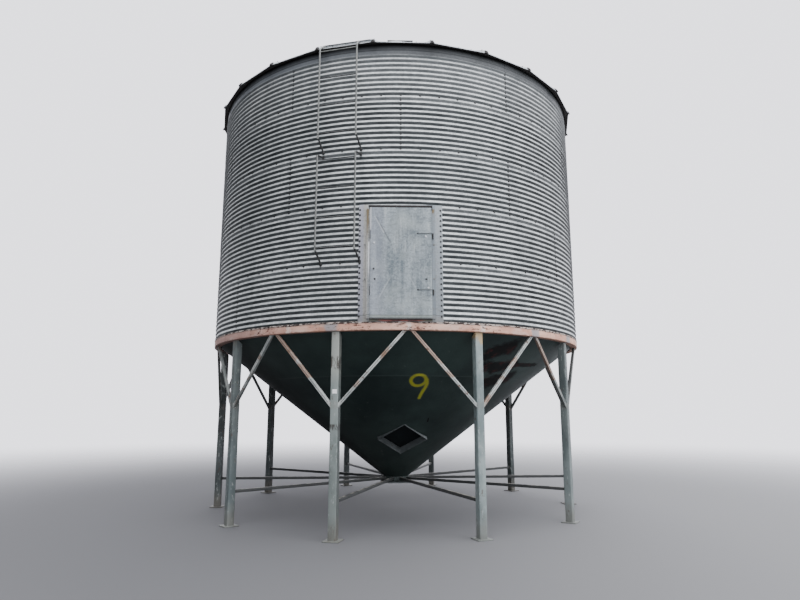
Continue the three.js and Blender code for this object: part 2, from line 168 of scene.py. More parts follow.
class Graph:
    """A node tree that is filled by calls and expressions."""

    def __init__(self, tree):
        self.tree = tree

    def add(self, kind, settings=None, sockets=None, output=0):
        """A node of a kind: its settings first, then its sockets by name or number."""
        node = self.tree.nodes.new(kind)
        for name, value in (settings or {}).items():
            setattr(node, name, value)
        for key, value in (sockets or {}).items():
            if isinstance(value, Value):
                self.tree.links.new(value.socket, node.inputs[key])
            else:
                node.inputs[key].default_value = value
        return Value(self, node.outputs[output]) if node.outputs else node

    def math(self, operation, *values):
        return self.add("ShaderNodeMath", {"operation": operation}, dict(enumerate(values)))

    def smooth(self, value, low, high):
        """0 below low, 1 above high, and a soft step between; low may be the larger one."""
        return self.add("ShaderNodeMapRange", {"interpolation_type": "SMOOTHSTEP"},
                        {0: value, 1: low, 2: high})

    def split(self, vector):
        return [self.add("ShaderNodeSeparateXYZ", {}, {0: vector}, axis) for axis in "XYZ"]

    def joined(self, x, y, z):
        return self.add("ShaderNodeCombineXYZ", {}, {0: x, 1: y, 2: z})


# %% [markdown]
# ## A finish
#
# Each finish reads the Object coordinates. Every piece has its place in its mesh, so these are
# metres on the bin, and rust can be put on the ring beam at the height and azimuth where it is. A
# finish starts from a base between two tones, and then one coat after another is laid over it, each
# where its mask is. Colours are given in the 0 to 255 of a paint chart.


# %% Material graph
def tint(red, green, blue):
    """A colour of the paint chart, as the linear colour that a socket takes."""
    parts = [c / 255 for c in (red, green, blue)]
    linear = [((c + 0.055) / 1.055) ** 2.4 if c > 0.04045 else c / 12.92 for c in parts]
    return (*linear, 1.0)


class Finish(Graph):
    """A material's tree, with the coordinates and the textures that the finishes share."""

    def __init__(self, name):
        self.material = bpy.data.materials.new(name)
        self.material.use_nodes = True
        super().__init__(self.material.node_tree)
        self.tree.nodes.clear()
        self.at = self.add("ShaderNodeTexCoord", output="Object")
        self.x, self.y, self.z = self.split(self.at)
        self.colour = None

    def azimuth(self):
        """Degrees from -Y, turning towards +X."""
        return self.math("ARCTAN2", self.x, -self.y) * (180 / math.pi)

    def out(self):
        """Distance from the axis."""
        return self.math("SQRT", self.x * self.x + self.y * self.y)

    def facing(self):
        """The surface's own direction, as x, y and z."""
        return self.split(self.add("ShaderNodeNewGeometry", {}, {}, "Normal"))

    def points_out(self, facing):
        """How far a direction points away from the axis: 1 is straight out."""
        return (facing[0] * self.x + facing[1] * self.y) / self.out()

    def between(self, value, low, high, soft):
        """1 from low to high, with soft steps beside them."""
        return self.smooth(value, low - soft, low) * self.smooth(value, high + soft, high)

    def near(self, value, far, close):
        """1 where a value is nearer to zero than close, 0 beyond far, and a soft step between."""
        return self.smooth(self.math("ABSOLUTE", value), far, close)

    def stretched(self, x, y, z, offset=0.0):
        """The coordinates, moved by an offset and then scaled along each axis."""
        moved = self.add("ShaderNodeVectorMath", {"operation": "ADD"}, {0: self.at, 1: (offset,) * 3})
        return self.add("ShaderNodeVectorMath", {"operation": "MULTIPLY"}, {0: moved, 1: (x, y, z)})

    def noise(self, scale, detail=3.0, rough=0.55, stretch=None):
        """Noise. The stretch is a scale for each axis, with an offset where the pattern is its own."""
        at = self.stretched(*stretch) if stretch else self.at
        return self.add("ShaderNodeTexNoise", {},
                        {"Vector": at, "Scale": scale, "Detail": detail, "Roughness": rough})

    def patches(self, low, high, *noise):
        """Noise as soft-edged patches: 0 where it is under low, 1 where it is over high."""
        return self.smooth(self.noise(*noise), low, high)

    def crystals(self, scale):
        """A grey value for each cell, as the spangle of hot-dip zinc has."""
        cells = self.add("ShaderNodeTexVoronoi", {}, {"Vector": self.at, "Scale": scale}, "Color")
        return self.add("ShaderNodeSeparateColor", {}, {0: cells})

    def mix(self, mask, a, b):
        """Two colours mixed, each of the paint chart or from another node."""
        a, b = [colour if isinstance(colour, Value) else tint(*colour) for colour in (a, b)]
        return self.add("ShaderNodeMix", {"data_type": "RGBA"}, {0: mask, 6: a, 7: b}, 2)

    def base(self, tone, dark, light):
        """The first colour, between two tones."""
        self.colour = self.mix(tone, dark, light)

    def coat(self, mask, colour):
        """Lays a colour over the finish where the mask is."""
        self.colour = self.mix(mask, self.colour, colour)

    def shade(self, factor):
        """Makes the finish darker, or lighter where the factor is over 1."""
        self.colour = self.add("ShaderNodeVectorMath", {"operation": "SCALE"},
                               {0: self.colour, "Scale": factor})

    def segment(self, u, v, start, end):
        """Distance from (u, v) to the straight line between two points."""
        du, dv = end[0] - start[0], end[1] - start[1]
        along = ((u - start[0]) * du + (v - start[1]) * dv) / (du * du + dv * dv)
        along = self.math("MINIMUM", self.math("MAXIMUM", along, 0.0), 1.0)
        gap_u = u - start[0] - along * du
        gap_v = v - start[1] - along * dv
        return self.math("SQRT", gap_u * gap_u + gap_v * gap_v)

    def done(self, rough, metal=0.0, height=None, depth=0.001, alpha=1.0, gloss=0.5):
        """Ends the tree in a shader and returns the material."""
        sockets = {"Base Color": self.colour, "Roughness": rough, "Metallic": metal, "Alpha": alpha,
                   "Specular IOR Level": gloss}
        if height is not None:
            sockets["Normal"] = self.add("ShaderNodeBump", {}, {"Distance": depth, "Height": height})
        shader = self.add("ShaderNodeBsdfPrincipled", {}, sockets)
        self.add("ShaderNodeOutputMaterial", {}, {"Surface": shader})
        return self.material


# %% [markdown]
# ## Galvanised steel
#
# Hot-dip zinc freezes in crystals a centimetre or two across. Outdoors it dulls to a chalky grey,
# with clouds of oxide and streaks below every joint. One function gives that skin, and the wall, the
# roof, the door and the ladders each change it.


# %% Zinc skin
def zinc(finish, light, dark, spangle=75.0, clouds=1.6, streaks=0.22):
    """The base of weathered zinc, between a light and a dark tone. Returns its roughness."""
    crystal = finish.crystals(spangle)
    cloud = finish.noise(clouds, 4.0)
    run = finish.noise(3.2, 4.0, 0.6, (2.6, 2.6, 0.16))
    grit = finish.noise(140.0, 2.0)
    tone = 0.5 + (crystal - 0.5) * 0.24 + (cloud - 0.5) * 0.7
    tone = tone + (run - 0.5) * (streaks * 4) + (grit - 0.5) * 0.3
    tone = finish.smooth(tone, 0.05, 0.95)
    finish.base(tone, dark, light)
    return 0.42 + tone * 0.14


def corrugated_zinc():
    """The wall: painted shade on the lower flank of each wave, laps and sheet ends, and painted eave
    shadow on the strip at the top.
    """
    finish = Finish("corrugated_zinc")
    phase = (finish.z - WALL_FOOT) / PITCH
    flank = finish.math("SINE", (phase - 0.045) * (2 * math.pi))
    plain = finish.smooth(finish.z, PLAIN_FOOT, below_eave(2.3))
    # The lower flank of each wave faces the floor: the dark coat laid there below is painted shade.
    under = finish.smooth(flank, -0.75, 0.25) * (1 - plain)
    level = (finish.z - WALL_FOOT) / TIER
    tier = finish.math("FLOOR", level)
    to_joint = (level - finish.math("ROUND", level)) * TIER
    lap = finish.smooth(to_joint, -0.076, -0.064) * finish.smooth(to_joint, -0.016, -0.028) * (1 - plain)
    azimuth = finish.azimuth()
    first = 0.0
    for number, seam_az in enumerate(SEAM_FIRST):
        first = finish.math("COMPARE", tier, float(number), 0.5) * seam_az + first
    # Four whole sheets are added so that the turn is never below zero.
    turn = (azimuth + 4 * SHEET_DEG - first) / SHEET_DEG
    sheet = finish.math("MODULO", finish.math("FLOOR", turn), float(SHEETS))
    lot = finish.add("ShaderNodeTexWhiteNoise", {"noise_dimensions": "2D"},
                     {"Vector": finish.joined(tier, sheet, 0.0)})
    to_seam = (turn - finish.math("ROUND", turn)) * (WALL_R * math.radians(SHEET_DEG))
    rough = zinc(finish, (230, 234, 233), (160, 166, 166), streaks=0.12)
    finish.shade(0.93 + lot * 0.12)
    grime_and_shade = finish.noise(5.0, 5.0, 0.65, (1.0, 1.0, 2.2)) - 0.5
    fleck = finish.patches(0.40, 0.62, 17.0, 4.0, 0.65, (1.0, 1.0, 1.8, 2.0))
    finish.shade(0.80 + fleck * 0.24)
    # Painted light and shade: the far left of the wall darker, and its lower left lighter, as if lit from
    # the floor.
    wall_left_shade = finish.between(azimuth, -110.0, -62.0, 32.0)
    wall_floor_glow = finish.smooth(finish.z, 4.3, 3.2) * finish.between(azimuth, -110.0, -34.0, 20.0)
    finish.shade(1 - wall_left_shade * 0.20 + wall_floor_glow * 0.34)
    # The painted wave shade is weaker on the lap band under each joint and high on the wall, patchy with
    # the grime noise, and deeper on the right.
    upper = finish.smooth(finish.z, 5.3, 6.0)
    shadow = under * (1 - lap * 0.12) * (0.95 - upper * 0.12 + grime_and_shade * 0.3)
    right = finish.between(azimuth, 44.0, 110.0, 28.0)
    finish.coat(shadow, finish.mix(right, (44, 49, 50), (16, 20, 21)))
    # Dark lines at the sheet ends, deeper where the painted wave shade lies.
    seam = finish.near(to_seam, 0.007, 0.002) * (0.15 + under * 0.5)
    finish.coat(seam, (44, 47, 47))
    # Painted eave shadow: the upper waves darken, the plain strip under the eave darkens most on the
    # right, a dark line marks the shade in its fold, and a near-black band lies just under the eave.
    high = finish.smooth(finish.z, below_eave(5.0), below_eave(1.8))
    finish.coat(high * 0.35, (78, 83, 85))
    strip = finish.mix(finish.smooth(finish.x, -2.4, 0.6), (108, 114, 119), (36, 39, 42))
    finish.coat(plain * 0.84, strip)
    shade = finish.smooth(finish.z, below_eave(1.9), below_eave(0.8))
    finish.coat(shade * 0.8, (40, 43, 45))
    fold = finish.near(finish.z - below_eave(1.45), 0.011, 0.004)
    finish.coat(fold * 0.6, (30, 33, 34))
    eave = finish.smooth(finish.z, below_eave(0.95), below_eave(0.40))
    finish.coat(eave, (14, 16, 17))
    return finish.done(rough + under * 0.2, 0.35, finish.noise(60.0, 3.0), 0.0006, gloss=0.3)


def plain_zinc(name, light, dark, spangle, metal=0.45, streaks=0.22):
    finish = Finish(name)
    rough = zinc(finish, light, dark, spangle, streaks=streaks)
    dents = finish.noise(4.0, 2.0) * 0.8 + finish.noise(60.0, 2.0) * 0.2
    return finish.done(rough, metal, dents, 0.003)


WALL_ZINC = corrugated_zinc()
ROOF_ZINC = plain_zinc("roof_zinc", (206, 210, 211), (150, 156, 159), 60.0)
LADDER_ZINC = plain_zinc("ladder_zinc", (130, 132, 128), (88, 91, 90), 120.0)
BOLT_ZINC = plain_zinc("bolt_zinc", (50, 51, 50), (24, 25, 25), 160.0, 0.2)

# %% [markdown]
# ## Door and frame finish
#
# The door sheet is bluer and smoother than the wall, with scuffs and pale oxide clouds. Rust has run
# down the frame's inner strip from its upper corners. Each crease line, with painted shade along the
# dark ones and painted highlight along the pale ones, is given by its two ends, across and up, and by
# how strongly it shows.

# %% Door finishes
CREASE_SHADOWS = (((-0.300, 3.850), (-0.115, 3.508), 0.26), ((-0.250, 3.755), (-0.130, 3.536), 0.42),
                ((0.300, 3.860), (0.110, 3.500), 0.12), ((-0.120, 3.078), (-0.200, 2.936), 0.25))
CREASE_HIGHLIGHTS = (((-0.322, 3.866), (-0.210, 3.660), 0.22), ((-0.140, 3.070), (-0.262, 2.845), 0.16),
                ((0.118, 3.083), (0.178, 2.959), 0.14))
DOOR_LIP_Z = 2.6255
FOOT_JOINT_Z = 2.633
CASING_TOP_Z = 3.985
WING_X = -0.436
LEFT_STRIP_X = -0.409
LEFT_FOLD_HIGHLIGHT_X = -0.3945
RIGHT_STRIP_X = 0.402


def door_zinc():
    """The door's sheet: scuffs, drips, painted shade and highlight on creases, and a fold line at its
    foot.
    """
    finish = Finish("door_zinc")
    rough = zinc(finish, (158, 167, 169), (78, 89, 94), 55.0, 2.4, 0.34)
    bloom = finish.patches(0.46, 0.66, 3.0, 5.0, 0.6)
    finish.coat(bloom * 0.4, (156, 164, 161))
    scuff = finish.patches(0.52, 0.66, 9.0, 6.0, 0.7, (0.7, 1.0, 2.4, 3.0))
    finish.coat(scuff * 0.5, (90, 98, 102))
    drip = finish.patches(0.54, 0.66, 16.0, 5.0, 0.65, (1.4, 1.0, 0.14, 8.0))
    finish.coat(drip * 0.25, (188, 193, 190))
    left = finish.smooth(finish.x, -0.12, -0.30)
    finish.coat(left * 0.3, (134, 137, 150))
    # A painted highlight down the upper part of the door's left edge.
    edge = finish.smooth(finish.x, -0.360, -0.374) * finish.smooth(finish.z, 3.66, 3.74)
    finish.coat(edge * 0.6, (206, 208, 208))
    # Painted shade along the dark crease lines, painted highlight along the pale ones.
    for start, end, deep in CREASE_SHADOWS:
        line = finish.smooth(finish.segment(finish.x, finish.z, start, end), 0.016, 0.002)
        finish.coat(line * deep, (62, 67, 70))
    for start, end, pale in CREASE_HIGHLIGHTS:
        line = finish.smooth(finish.segment(finish.x, finish.z, start, end), 0.014, 0.002)
        finish.coat(line * pale, (214, 218, 216))
    low = finish.smooth(finish.z, 2.634, 2.622)
    finish.coat(low * 0.5, (122, 129, 118))
    step = finish.near(finish.z - DOOR_LIP_Z, 0.008, 0.003)
    finish.coat(step * 0.5, (70, 74, 72))
    return finish.done(rough, 0.4, finish.noise(5.0, 2.0), 0.004, gloss=0.35)


def frame_zinc():
    """The casing: darker right side, warm left wing, painted highlight on the left fold, rust from both
    corners.
    """
    finish = Finish("frame_zinc")
    rough = zinc(finish, (186, 190, 189), (118, 124, 126), 70.0)
    right = finish.smooth(finish.x, 0.3, 0.36)
    finish.coat(right * (0.58 + finish.smooth(finish.x, 0.440, 0.425) * 0.28), (104, 114, 120))
    wing = finish.smooth(finish.x, -0.452, -0.470)
    finish.coat(wing * 0.4, (150, 148, 166))
    warm = finish.near(finish.x - WING_X, 0.030, 0.022)
    finish.coat(warm * 0.4, (168, 162, 148))
    ragged = finish.noise(22.0, 5.0, 0.65, (1.0, 1.0, 0.35)) - 0.5
    chips = finish.patches(0.54, 0.62, 26.0, 5.0, 0.7)
    finish.coat(chips * 0.4, (104, 104, 98))
    below_top = finish.smooth(finish.z, CASING_TOP_Z, CASING_TOP_Z - 0.025)
    off_left = finish.math("ABSOLUTE", finish.x - LEFT_STRIP_X) + ragged * 0.04
    left_run = finish.smooth(off_left, 0.025, 0.012) * finish.smooth(finish.z + ragged * 0.5, 3.40, 3.86)
    off_right = finish.math("ABSOLUTE", finish.x - RIGHT_STRIP_X) + ragged * 0.05
    corner = finish.smooth(off_right, 0.024, 0.008) * finish.smooth(finish.z + ragged * 0.1, 3.90, 3.94)
    stain = finish.math("MINIMUM", left_run * below_top + corner * below_top, 1.0)
    finish.coat(stain * 0.9, finish.mix(chips, (96, 82, 52), (70, 54, 36)))
    # A near-white painted highlight along the left fold of the casing.
    folded = finish.near(finish.x - LEFT_FOLD_HIGHLIGHT_X, 0.008, 0.004)
    folded = folded * finish.smooth(finish.z, 3.02, 3.30) * finish.smooth(finish.z, 3.56, 3.53)
    finish.coat(folded * 0.9, (236, 238, 238))
    joint = finish.near(finish.z - FOOT_JOINT_Z, 0.007, 0.002)
    joint = joint * finish.smooth(finish.math("ABSOLUTE", finish.x), 0.380, 0.388)
    finish.coat(joint * 0.6, (62, 64, 60))
    sill = finish.smooth(finish.z + ragged * 0.05, 2.64, 2.60)
    finish.coat(sill * 0.5, (128, 126, 120))
    return finish.done(rough, 0.35, finish.noise(30.0, 3.0), 0.0015)


DOOR_ZINC = door_zinc()
FRAME_ZINC = frame_zinc()

# %% [markdown]
# ## Paints
#
# The ring beam was left in a red primer that has faded to pink, with grey-blue overspray where each
# leg was painted. The legs are a blue-grey that has chipped and stained, the braces are grey over
# primer, and the hopper is nearly black. Each paint is a base tone with chips and stains put where
# weather puts them: along edges, at welds and under joints. Painted shade darkens the sides and faces
# turned from the light. The spots on the ring are azimuths.

# %% Primer on the ring beam
LEGS = 10
LEG_FIRST_AZ = 19.9
BAY = 360 / LEGS
PAINT_SPOTS = (-124.0, -88.0, -17.0, 37.9, 56.0, 128.0, 164.0)
PALE_SPOTS = (1.9, -29.0, 20.5)
WORN_SPOTS = (-12.0, 4.0, 22.0, -36.0)


def spotted(finish, spots, half, ragged):
    """A mask round each azimuth of a list, reaching half (in metres) to each side, with a ragged edge."""
    azimuth = finish.azimuth()
    mask = 0.0
    for spot in spots:
        away = finish.math("ABSOLUTE", azimuth - spot) * (RING_OUT * math.radians(1.0))
        mask = finish.smooth(away + ragged, half, half * 0.5) + mask
    return finish.math("MINIMUM", mask, 1.0)


def faded_primer():
    """Pink primer with spots of leg paint, chips down to rust, and dirt along both edges."""
    finish = Finish("faded_primer")
    cloud = finish.noise(3.0, 5.0, 0.62, (1.0, 1.0, 1.8))
    finish.base(finish.smooth(cloud, 0.34, 0.64), (190, 144, 124), (220, 180, 158))
    # Painted shade: the ring darkens towards its left side, away from the light.
    ring_left_shade = finish.between(finish.azimuth(), -130.0, -50.0, 34.0)
    finish.coat(ring_left_shade * 0.6, (140, 112, 112))
    brown = finish.patches(0.54, 0.62, 3.4, 5.0, 0.62, (1.0, 1.0, 1.5, 7.0))
    finish.coat(brown * 0.35, (150, 112, 92))
    chalk = finish.patches(0.54, 0.64, 2.6, 5.0, 0.6, (1.0, 1.0, 2.0, 12.0))
    finish.coat(chalk * 0.35, (212, 198, 188))
    rough_edge = (finish.noise(11.0, 4.0) - 0.5) * 0.14
    finish.coat(spotted(finish, PAINT_SPOTS, 0.11, rough_edge) * 0.7, (132, 146, 152))
    finish.coat(spotted(finish, PALE_SPOTS, 0.04, rough_edge) * 0.6, (214, 208, 200))
    worn = spotted(finish, WORN_SPOTS, 0.30, 0.0)
    flecks = finish.noise(26.0, 6.0, 0.7, (0.6, 0.6, 1.4)) + worn * 0.055
    flecks = finish.smooth(flecks, 0.60, 0.64)
    finish.coat(flecks * (0.5 + worn * 0.4), (78, 46, 38))
    edge = finish.z + (finish.noise(18.0, 5.0, 0.7) - 0.5) * 0.05
    rim = finish.smooth(edge, WALL_FOOT - 0.030, WALL_FOOT - 0.014)
    finish.coat(rim * 0.5, (120, 104, 96))
    foot = finish.smooth(edge, RING_FOOT + 0.014, RING_FOOT + 0.002)
    finish.coat(foot * 0.6, (96, 66, 56))
    height = finish.noise(40.0, 4.0) - flecks * 0.6
    return finish.done(0.75, 0.0, height, 0.0012, gloss=0.3)


# %% Leg, brace and tie paint
PEELED_BANDS = ((2.065, 0.100), (1.295, 0.045))
STAINED_AZ = -3.8


def leg_paint():
    """Blue-grey. The two legs in front have marks of their own, and painted shade darkens those further
    round.
    """
    finish = Finish("leg_paint")
    azimuth = finish.azimuth()
    cloud = finish.noise(2.4, 5.0, 0.6, (1.0, 1.0, 0.5))
    finish.base(finish.smooth(cloud, 0.34, 0.66), (98, 110, 110), (146, 157, 155))
    own = finish.add("ShaderNodeTexWhiteNoise", {"noise_dimensions": "1D"},
                     {"W": finish.math("ROUND", (azimuth - LEG_FIRST_AZ) / BAY)})
    finish.shade(0.9 + own * 0.2)
    # Painted shade: the legs beside and behind the front ones are darker, more so higher up.
    away = finish.math("ABSOLUTE", azimuth)
    beside = finish.smooth(away, 25.0, 50.0)
    back_leg_shade = finish.smooth(away, 68.0, 86.0)
    raised = finish.smooth(finish.z, 0.85, 1.25)
    finish.shade(1 - beside * (0.23 + raised * 0.27) - back_leg_shade * (0.48 - raised * 0.14))
    # The front legs darken towards the foot.
    low_darkening = finish.smooth(finish.z, 1.1, 0.3) * (1 - beside)
    finish.shade(1 - low_darkening * 0.22)
    second = finish.near(azimuth - LEG_FIRST_AZ, 3.0, 2.0)
    first = finish.near(azimuth - (LEG_FIRST_AZ - BAY), 3.0, 2.0)
    finish.shade(1 + second * 0.18 - first * 0.06)
    finish.coat(first * 0.25, (122, 128, 118))
    chalk = finish.patches(0.56, 0.68, 30.0, 5.0, 0.7, (1.0, 1.0, 0.4, 5.0))
    finish.coat(chalk * 0.45, (182, 188, 184))
    top = finish.smooth(finish.z + (finish.noise(7.0, 5.0, 0.65) - 0.5) * 0.3, 2.36, 2.50)
    rusty = finish.patches(0.42, 0.6, 8.0, 5.0, 0.6, (1.0, 1.0, 0.4, 2.0))
    finish.coat(top * rusty * 0.5, (140, 118, 92))
    tan = second * finish.smooth(finish.z + (rusty - 0.5) * 0.08, 2.32, 2.37)
    finish.coat(tan * 0.80, (178, 152, 110))
    bare = first * finish.smooth(finish.z, 1.75, 2.05)
    finish.coat(bare * 0.5, (178, 180, 170))
    torn = finish.patches(0.49, 0.54, 34.0, 5.0, 0.7, (1.0, 1.0, 0.22, 3.0))
    for height, half in PEELED_BANDS:
        band = finish.near(finish.z - height, half, half * 0.6)
        finish.coat(first * band * torn * 0.85, (56, 48, 42))
    scuff = finish.patches(0.61, 0.66, 12.0, 6.0, 0.72, (1.6, 1.6, 0.7, 9.0))
    finish.coat(scuff * 0.75, (84, 66, 54))
    to_weld = finish.math("ABSOLUTE", finish.z - BRACE_LEG_Z) + (finish.noise(20.0) - 0.5) * 0.05
    finish.coat(finish.smooth(to_weld, 0.06, 0.03) * 0.15, (120, 104, 92))
    # Painted shade on faces that do not point out from the axis and are turned east.
    facing = finish.facing()
    east_face_shade = finish.smooth(finish.points_out(facing), 0.5, 0.3) * finish.smooth(facing[0], 0.5, 0.9)
    finish.shade(1 - east_face_shade * 0.58)
    foot = finish.smooth(finish.z + (finish.noise(9.0, 4.0) - 0.5) * 0.3, 0.35, 0.05)
    finish.coat(foot * 0.5, (98, 92, 82))
    grain = finish.noise(50.0, 4.0) - scuff * 0.5
    return finish.done(0.58 + scuff * 0.25, 0.05, grain, 0.0012, gloss=0.35)


def brace_paint():
    """Pale grey over primer, which shows most on the upper half of the left braces."""
    finish = Finish("brace_paint")
    azimuth = finish.azimuth()
    cloud = finish.noise(5.0, 4.0)
    finish.base(finish.smooth(cloud, 0.3, 0.7), (142, 149, 147), (194, 198, 193))
    turn = (azimuth - LEG_FIRST_AZ) / BAY
    left = finish.smooth(turn - finish.math("ROUND", turn), 0.02, -0.02)
    left = left * finish.between(azimuth, -38.0, 120.0, 8.0)
    high = finish.smooth(finish.z + (cloud - 0.5) * 0.2, 1.84, 1.92)
    primer = finish.noise(2.7, 5.0, 0.6, (1.0, 1.0, 1.0, 4.0)) + left * (high * 0.38 - 0.20)
    finish.coat(finish.smooth(primer, 0.56, 0.66) * 0.80, (146, 116, 97))
    stained = finish.near(azimuth - STAINED_AZ, 1.4, 0.7)
    stained = stained + finish.patches(0.60, 0.66, 4.0, 4.0, 0.6, (1.0, 1.0, 1.0, 9.0))
    finish.coat(finish.math("MINIMUM", stained, 1.0) * 0.6, (120, 88, 62))
    rust = finish.patches(0.585, 0.65, 15.0, 6.0, 0.7)
    finish.coat(rust * 0.8, (98, 66, 50))
    # Painted shade: braces further round are darker, as are their undersides and the inner faces of braces
    # on the east side.
    away = finish.math("ABSOLUTE", azimuth)
    side_shade = finish.smooth(away, 40.0, 54.0) * 0.42 + finish.smooth(away, 66.0, 80.0) * 0.24
    facing = finish.facing()
    below = finish.smooth(facing[2], -0.20, -0.45)
    inner_face_shade = finish.smooth(finish.points_out(facing), 0.7, 0.4)
    inner_face_shade = inner_face_shade * finish.between(azimuth, 57.0, 110.0, 2.0)
    finish.shade((1 - side_shade) * (1 - below * 0.5) * (1 - inner_face_shade * 0.7))
    return finish.done(0.62, 0.15, finish.noise(50.0, 4.0) - rust * 0.4, 0.001)


def tie_paint():
    finish = Finish("tie_paint")
    finish.base(finish.noise(6.0, 4.0), (30, 33, 34), (66, 68, 66))
    # Pale patches on the upward faces: partly wear, partly painted highlight from the sky.
    up = finish.smooth(finish.facing()[2], 0.6, 0.9)
    worn = finish.patches(0.42, 0.56, 7.0, 6.0, 0.7, (1.0, 1.0, 1.0, 6.0))
    finish.coat(up * worn * 0.85, (150, 148, 138))
    return finish.done(0.6, 0.1, finish.noise(50.0, 4.0), 0.001)


PRIMER = faded_primer()
LEG_PAINT = leg_paint()
BRACE_PAINT = brace_paint()
TIE_PAINT = tie_paint()

# %% [markdown]
# ## Hopper paint
#
# The cone is a dark green-black enamel. On its right side the paint has flaked to dark rust in
# long patches, and a bin number, a plain 9, was sprayed on the front by hand. The number is a
# distance field: a ring for the bowl, a line for the stem, and noise for the soft spray edge. The
# coordinates are unrolled, so u runs across the cone and v runs up its slope. A scrape is a line
# between two places, each an azimuth and a distance out, with half its width.

# %% Hopper finish
CONE_APEX = 0.316
CONE_TAN = 0.76
CONE_SLOPE = math.sqrt(1 + CONE_TAN * CONE_TAN)
CONE_SEAM_OUT = 2.147
DIGIT_AZ = 7.5
DIGIT_OUT = 2.05
BOWL_AT = (-0.010, 0.028)
BOWL_HALF = (0.100, 0.112)
STEM = ((0.096, 0.050), (0.116, -0.037), (0.110, -0.115), (0.089, -0.195), (0.071, -0.280),
        (0.062, -0.345))
METRES_A_DEGREE = 0.040
SCRAPES = (((28.0, 2.53), (34.5, 2.64), 0.140), ((28.5, 2.32), (42.5, 2.35), 0.120),
           ((35.0, 2.04), (47.0, 2.17), 0.150), ((44.0, 2.38), (56.5, 2.42), 0.045),
           ((18.2, 1.40), (18.6, 1.36), 0.030),
           ((-118.0, 2.2), (-96.0, 2.4), 0.070), ((150.0, 1.8), (171.0, 1.7), 0.060))


def hopper_enamel():
    """Dark enamel with dust low down, a line at the seam, rusty scrapes, the sprayed number and painted
    shade on the left.
    """
    finish = Finish("hopper_enamel")
    azimuth = finish.azimuth()
    out = finish.out()
    cloud = finish.noise(1.4, 5.0, 0.6)
    finish.base(finish.smooth(cloud, 0.3, 0.7), (28, 39, 38), (45, 58, 55))
    dust = finish.smooth(out + (finish.noise(2.0, 4.0) - 0.5) * 0.9, 1.7, 0.5)
    finish.coat(dust * 0.25, (60, 66, 62))
    scrape = finish.patches(0.64, 0.68, 10.0, 6.0, 0.72, (1.0, 1.0, 0.5, 8.0))
    finish.coat(scrape * 0.35, (82, 88, 84))
    line = finish.near(out - CONE_SEAM_OUT, 0.012, 0.003)
    finish.coat(line * 0.35, (70, 80, 76))
    rust = 0.0
    ragged = (finish.noise(5.0, 6.0, 0.64, (1.0, 1.0, 2.0, 3.0)) - 0.5) * 0.36
    for (az_a, out_a), (az_b, out_b), half in SCRAPES:
        away = finish.segment(azimuth * METRES_A_DEGREE, out,
                              (az_a * METRES_A_DEGREE, out_a), (az_b * METRES_A_DEGREE, out_b))
        rust = finish.smooth(away + ragged * (half * 5), half, half * 0.4) + rust
    rust = finish.math("MINIMUM", rust, 1.0)
    scale = finish.mix(finish.patches(0.48, 0.64, 7.0, 5.0, 0.7), (8, 7, 8), (50, 20, 20))
    finish.coat(rust * 0.94, scale)
    u = (azimuth - DIGIT_AZ) * (math.pi / 180) * DIGIT_OUT
    v = (out - DIGIT_OUT) * CONE_SLOPE
    ring_u = (u - BOWL_AT[0]) / BOWL_HALF[0]
    ring_v = (v - BOWL_AT[1]) / BOWL_HALF[1]
    ring = finish.math("SQRT", ring_u * ring_u + ring_v * ring_v)
    stroke = finish.math("ABSOLUTE", ring - 1.0) * (sum(BOWL_HALF) / 2)
    for start, end in zip(STEM, STEM[1:]):
        stroke = finish.math("MINIMUM", stroke, finish.segment(u, v, start, end))
    speck = (finish.noise(60.0, 5.0, 0.7) - 0.5) * 0.03
    spray = finish.smooth(stroke + speck, 0.040, 0.008)
    cover = spray * (0.62 + finish.noise(9.0, 4.0) * 0.4)
    finish.coat(cover, (164, 164, 44))
    # Painted shade on the cone's left side, which is also made rougher.
    side_shade = finish.between(azimuth, -120.0, -66.0, 28.0)
    finish.shade(1 - side_shade * 0.65)
    dents = finish.noise(24.0, 5.0) - rust * 0.7
    return finish.done(0.55 + rust * 0.35 + spray * 0.2 + side_shade * 0.35, 0.0, dents, 0.002, gloss=0.25)


def dull_steel():
    finish = Finish("dull_steel")
    finish.base(finish.noise(8.0, 5.0, 0.6), (52, 58, 60), (116, 122, 122))
    rust = finish.patches(0.6, 0.67, 13.0, 6.0, 0.7)
    finish.coat(rust * 0.6, (84, 58, 46))
    return finish.done(0.5, 0.4, finish.noise(50.0, 4.0), 0.001)


def rung_iron():
    finish = Finish("rung_iron")
    # Painted highlight on the rung's top and painted shade, near black, underneath.
    up = finish.smooth(finish.facing()[2], 0.3, 0.7)
    finish.base(up, (18, 20, 21), (158, 160, 157))
    return finish.done(0.6, 0.2, finish.noise(80.0, 3.0), 0.0006)


def old_caulk():
    finish = Finish("old_caulk")
    patch = finish.patches(0.46, 0.56, 20.0, 5.0, 0.7, (1.0, 1.0, 1.5))
    finish.base(patch, (58, 50, 47), (176, 165, 156))
    return finish.done(0.85, 0.0, finish.noise(60.0, 4.0), 0.002, gloss=0.3)


def sill_red():
    finish = Finish("sill_red")
    finish.base(finish.patches(0.4, 0.6, 9.0, 5.0, 0.6), (70, 44, 42), (114, 66, 60))
    ends = finish.smooth(finish.math("ABSOLUTE", finish.x), 0.20, 0.32)
    finish.coat(ends * 0.8, (70, 80, 70))
    return finish.done(0.8, gloss=0.3)


def mottled(name, dark, light, clouds, grain, depth, rough, metal=0.0, gloss=0.5):
    """A plain finish: two tones in clouds, with a fine grain for its bumps."""
    finish = Finish(name)
    finish.base(finish.noise(*clouds), dark, light)
    return finish.done(rough, metal, finish.noise(*grain), depth, gloss=gloss)


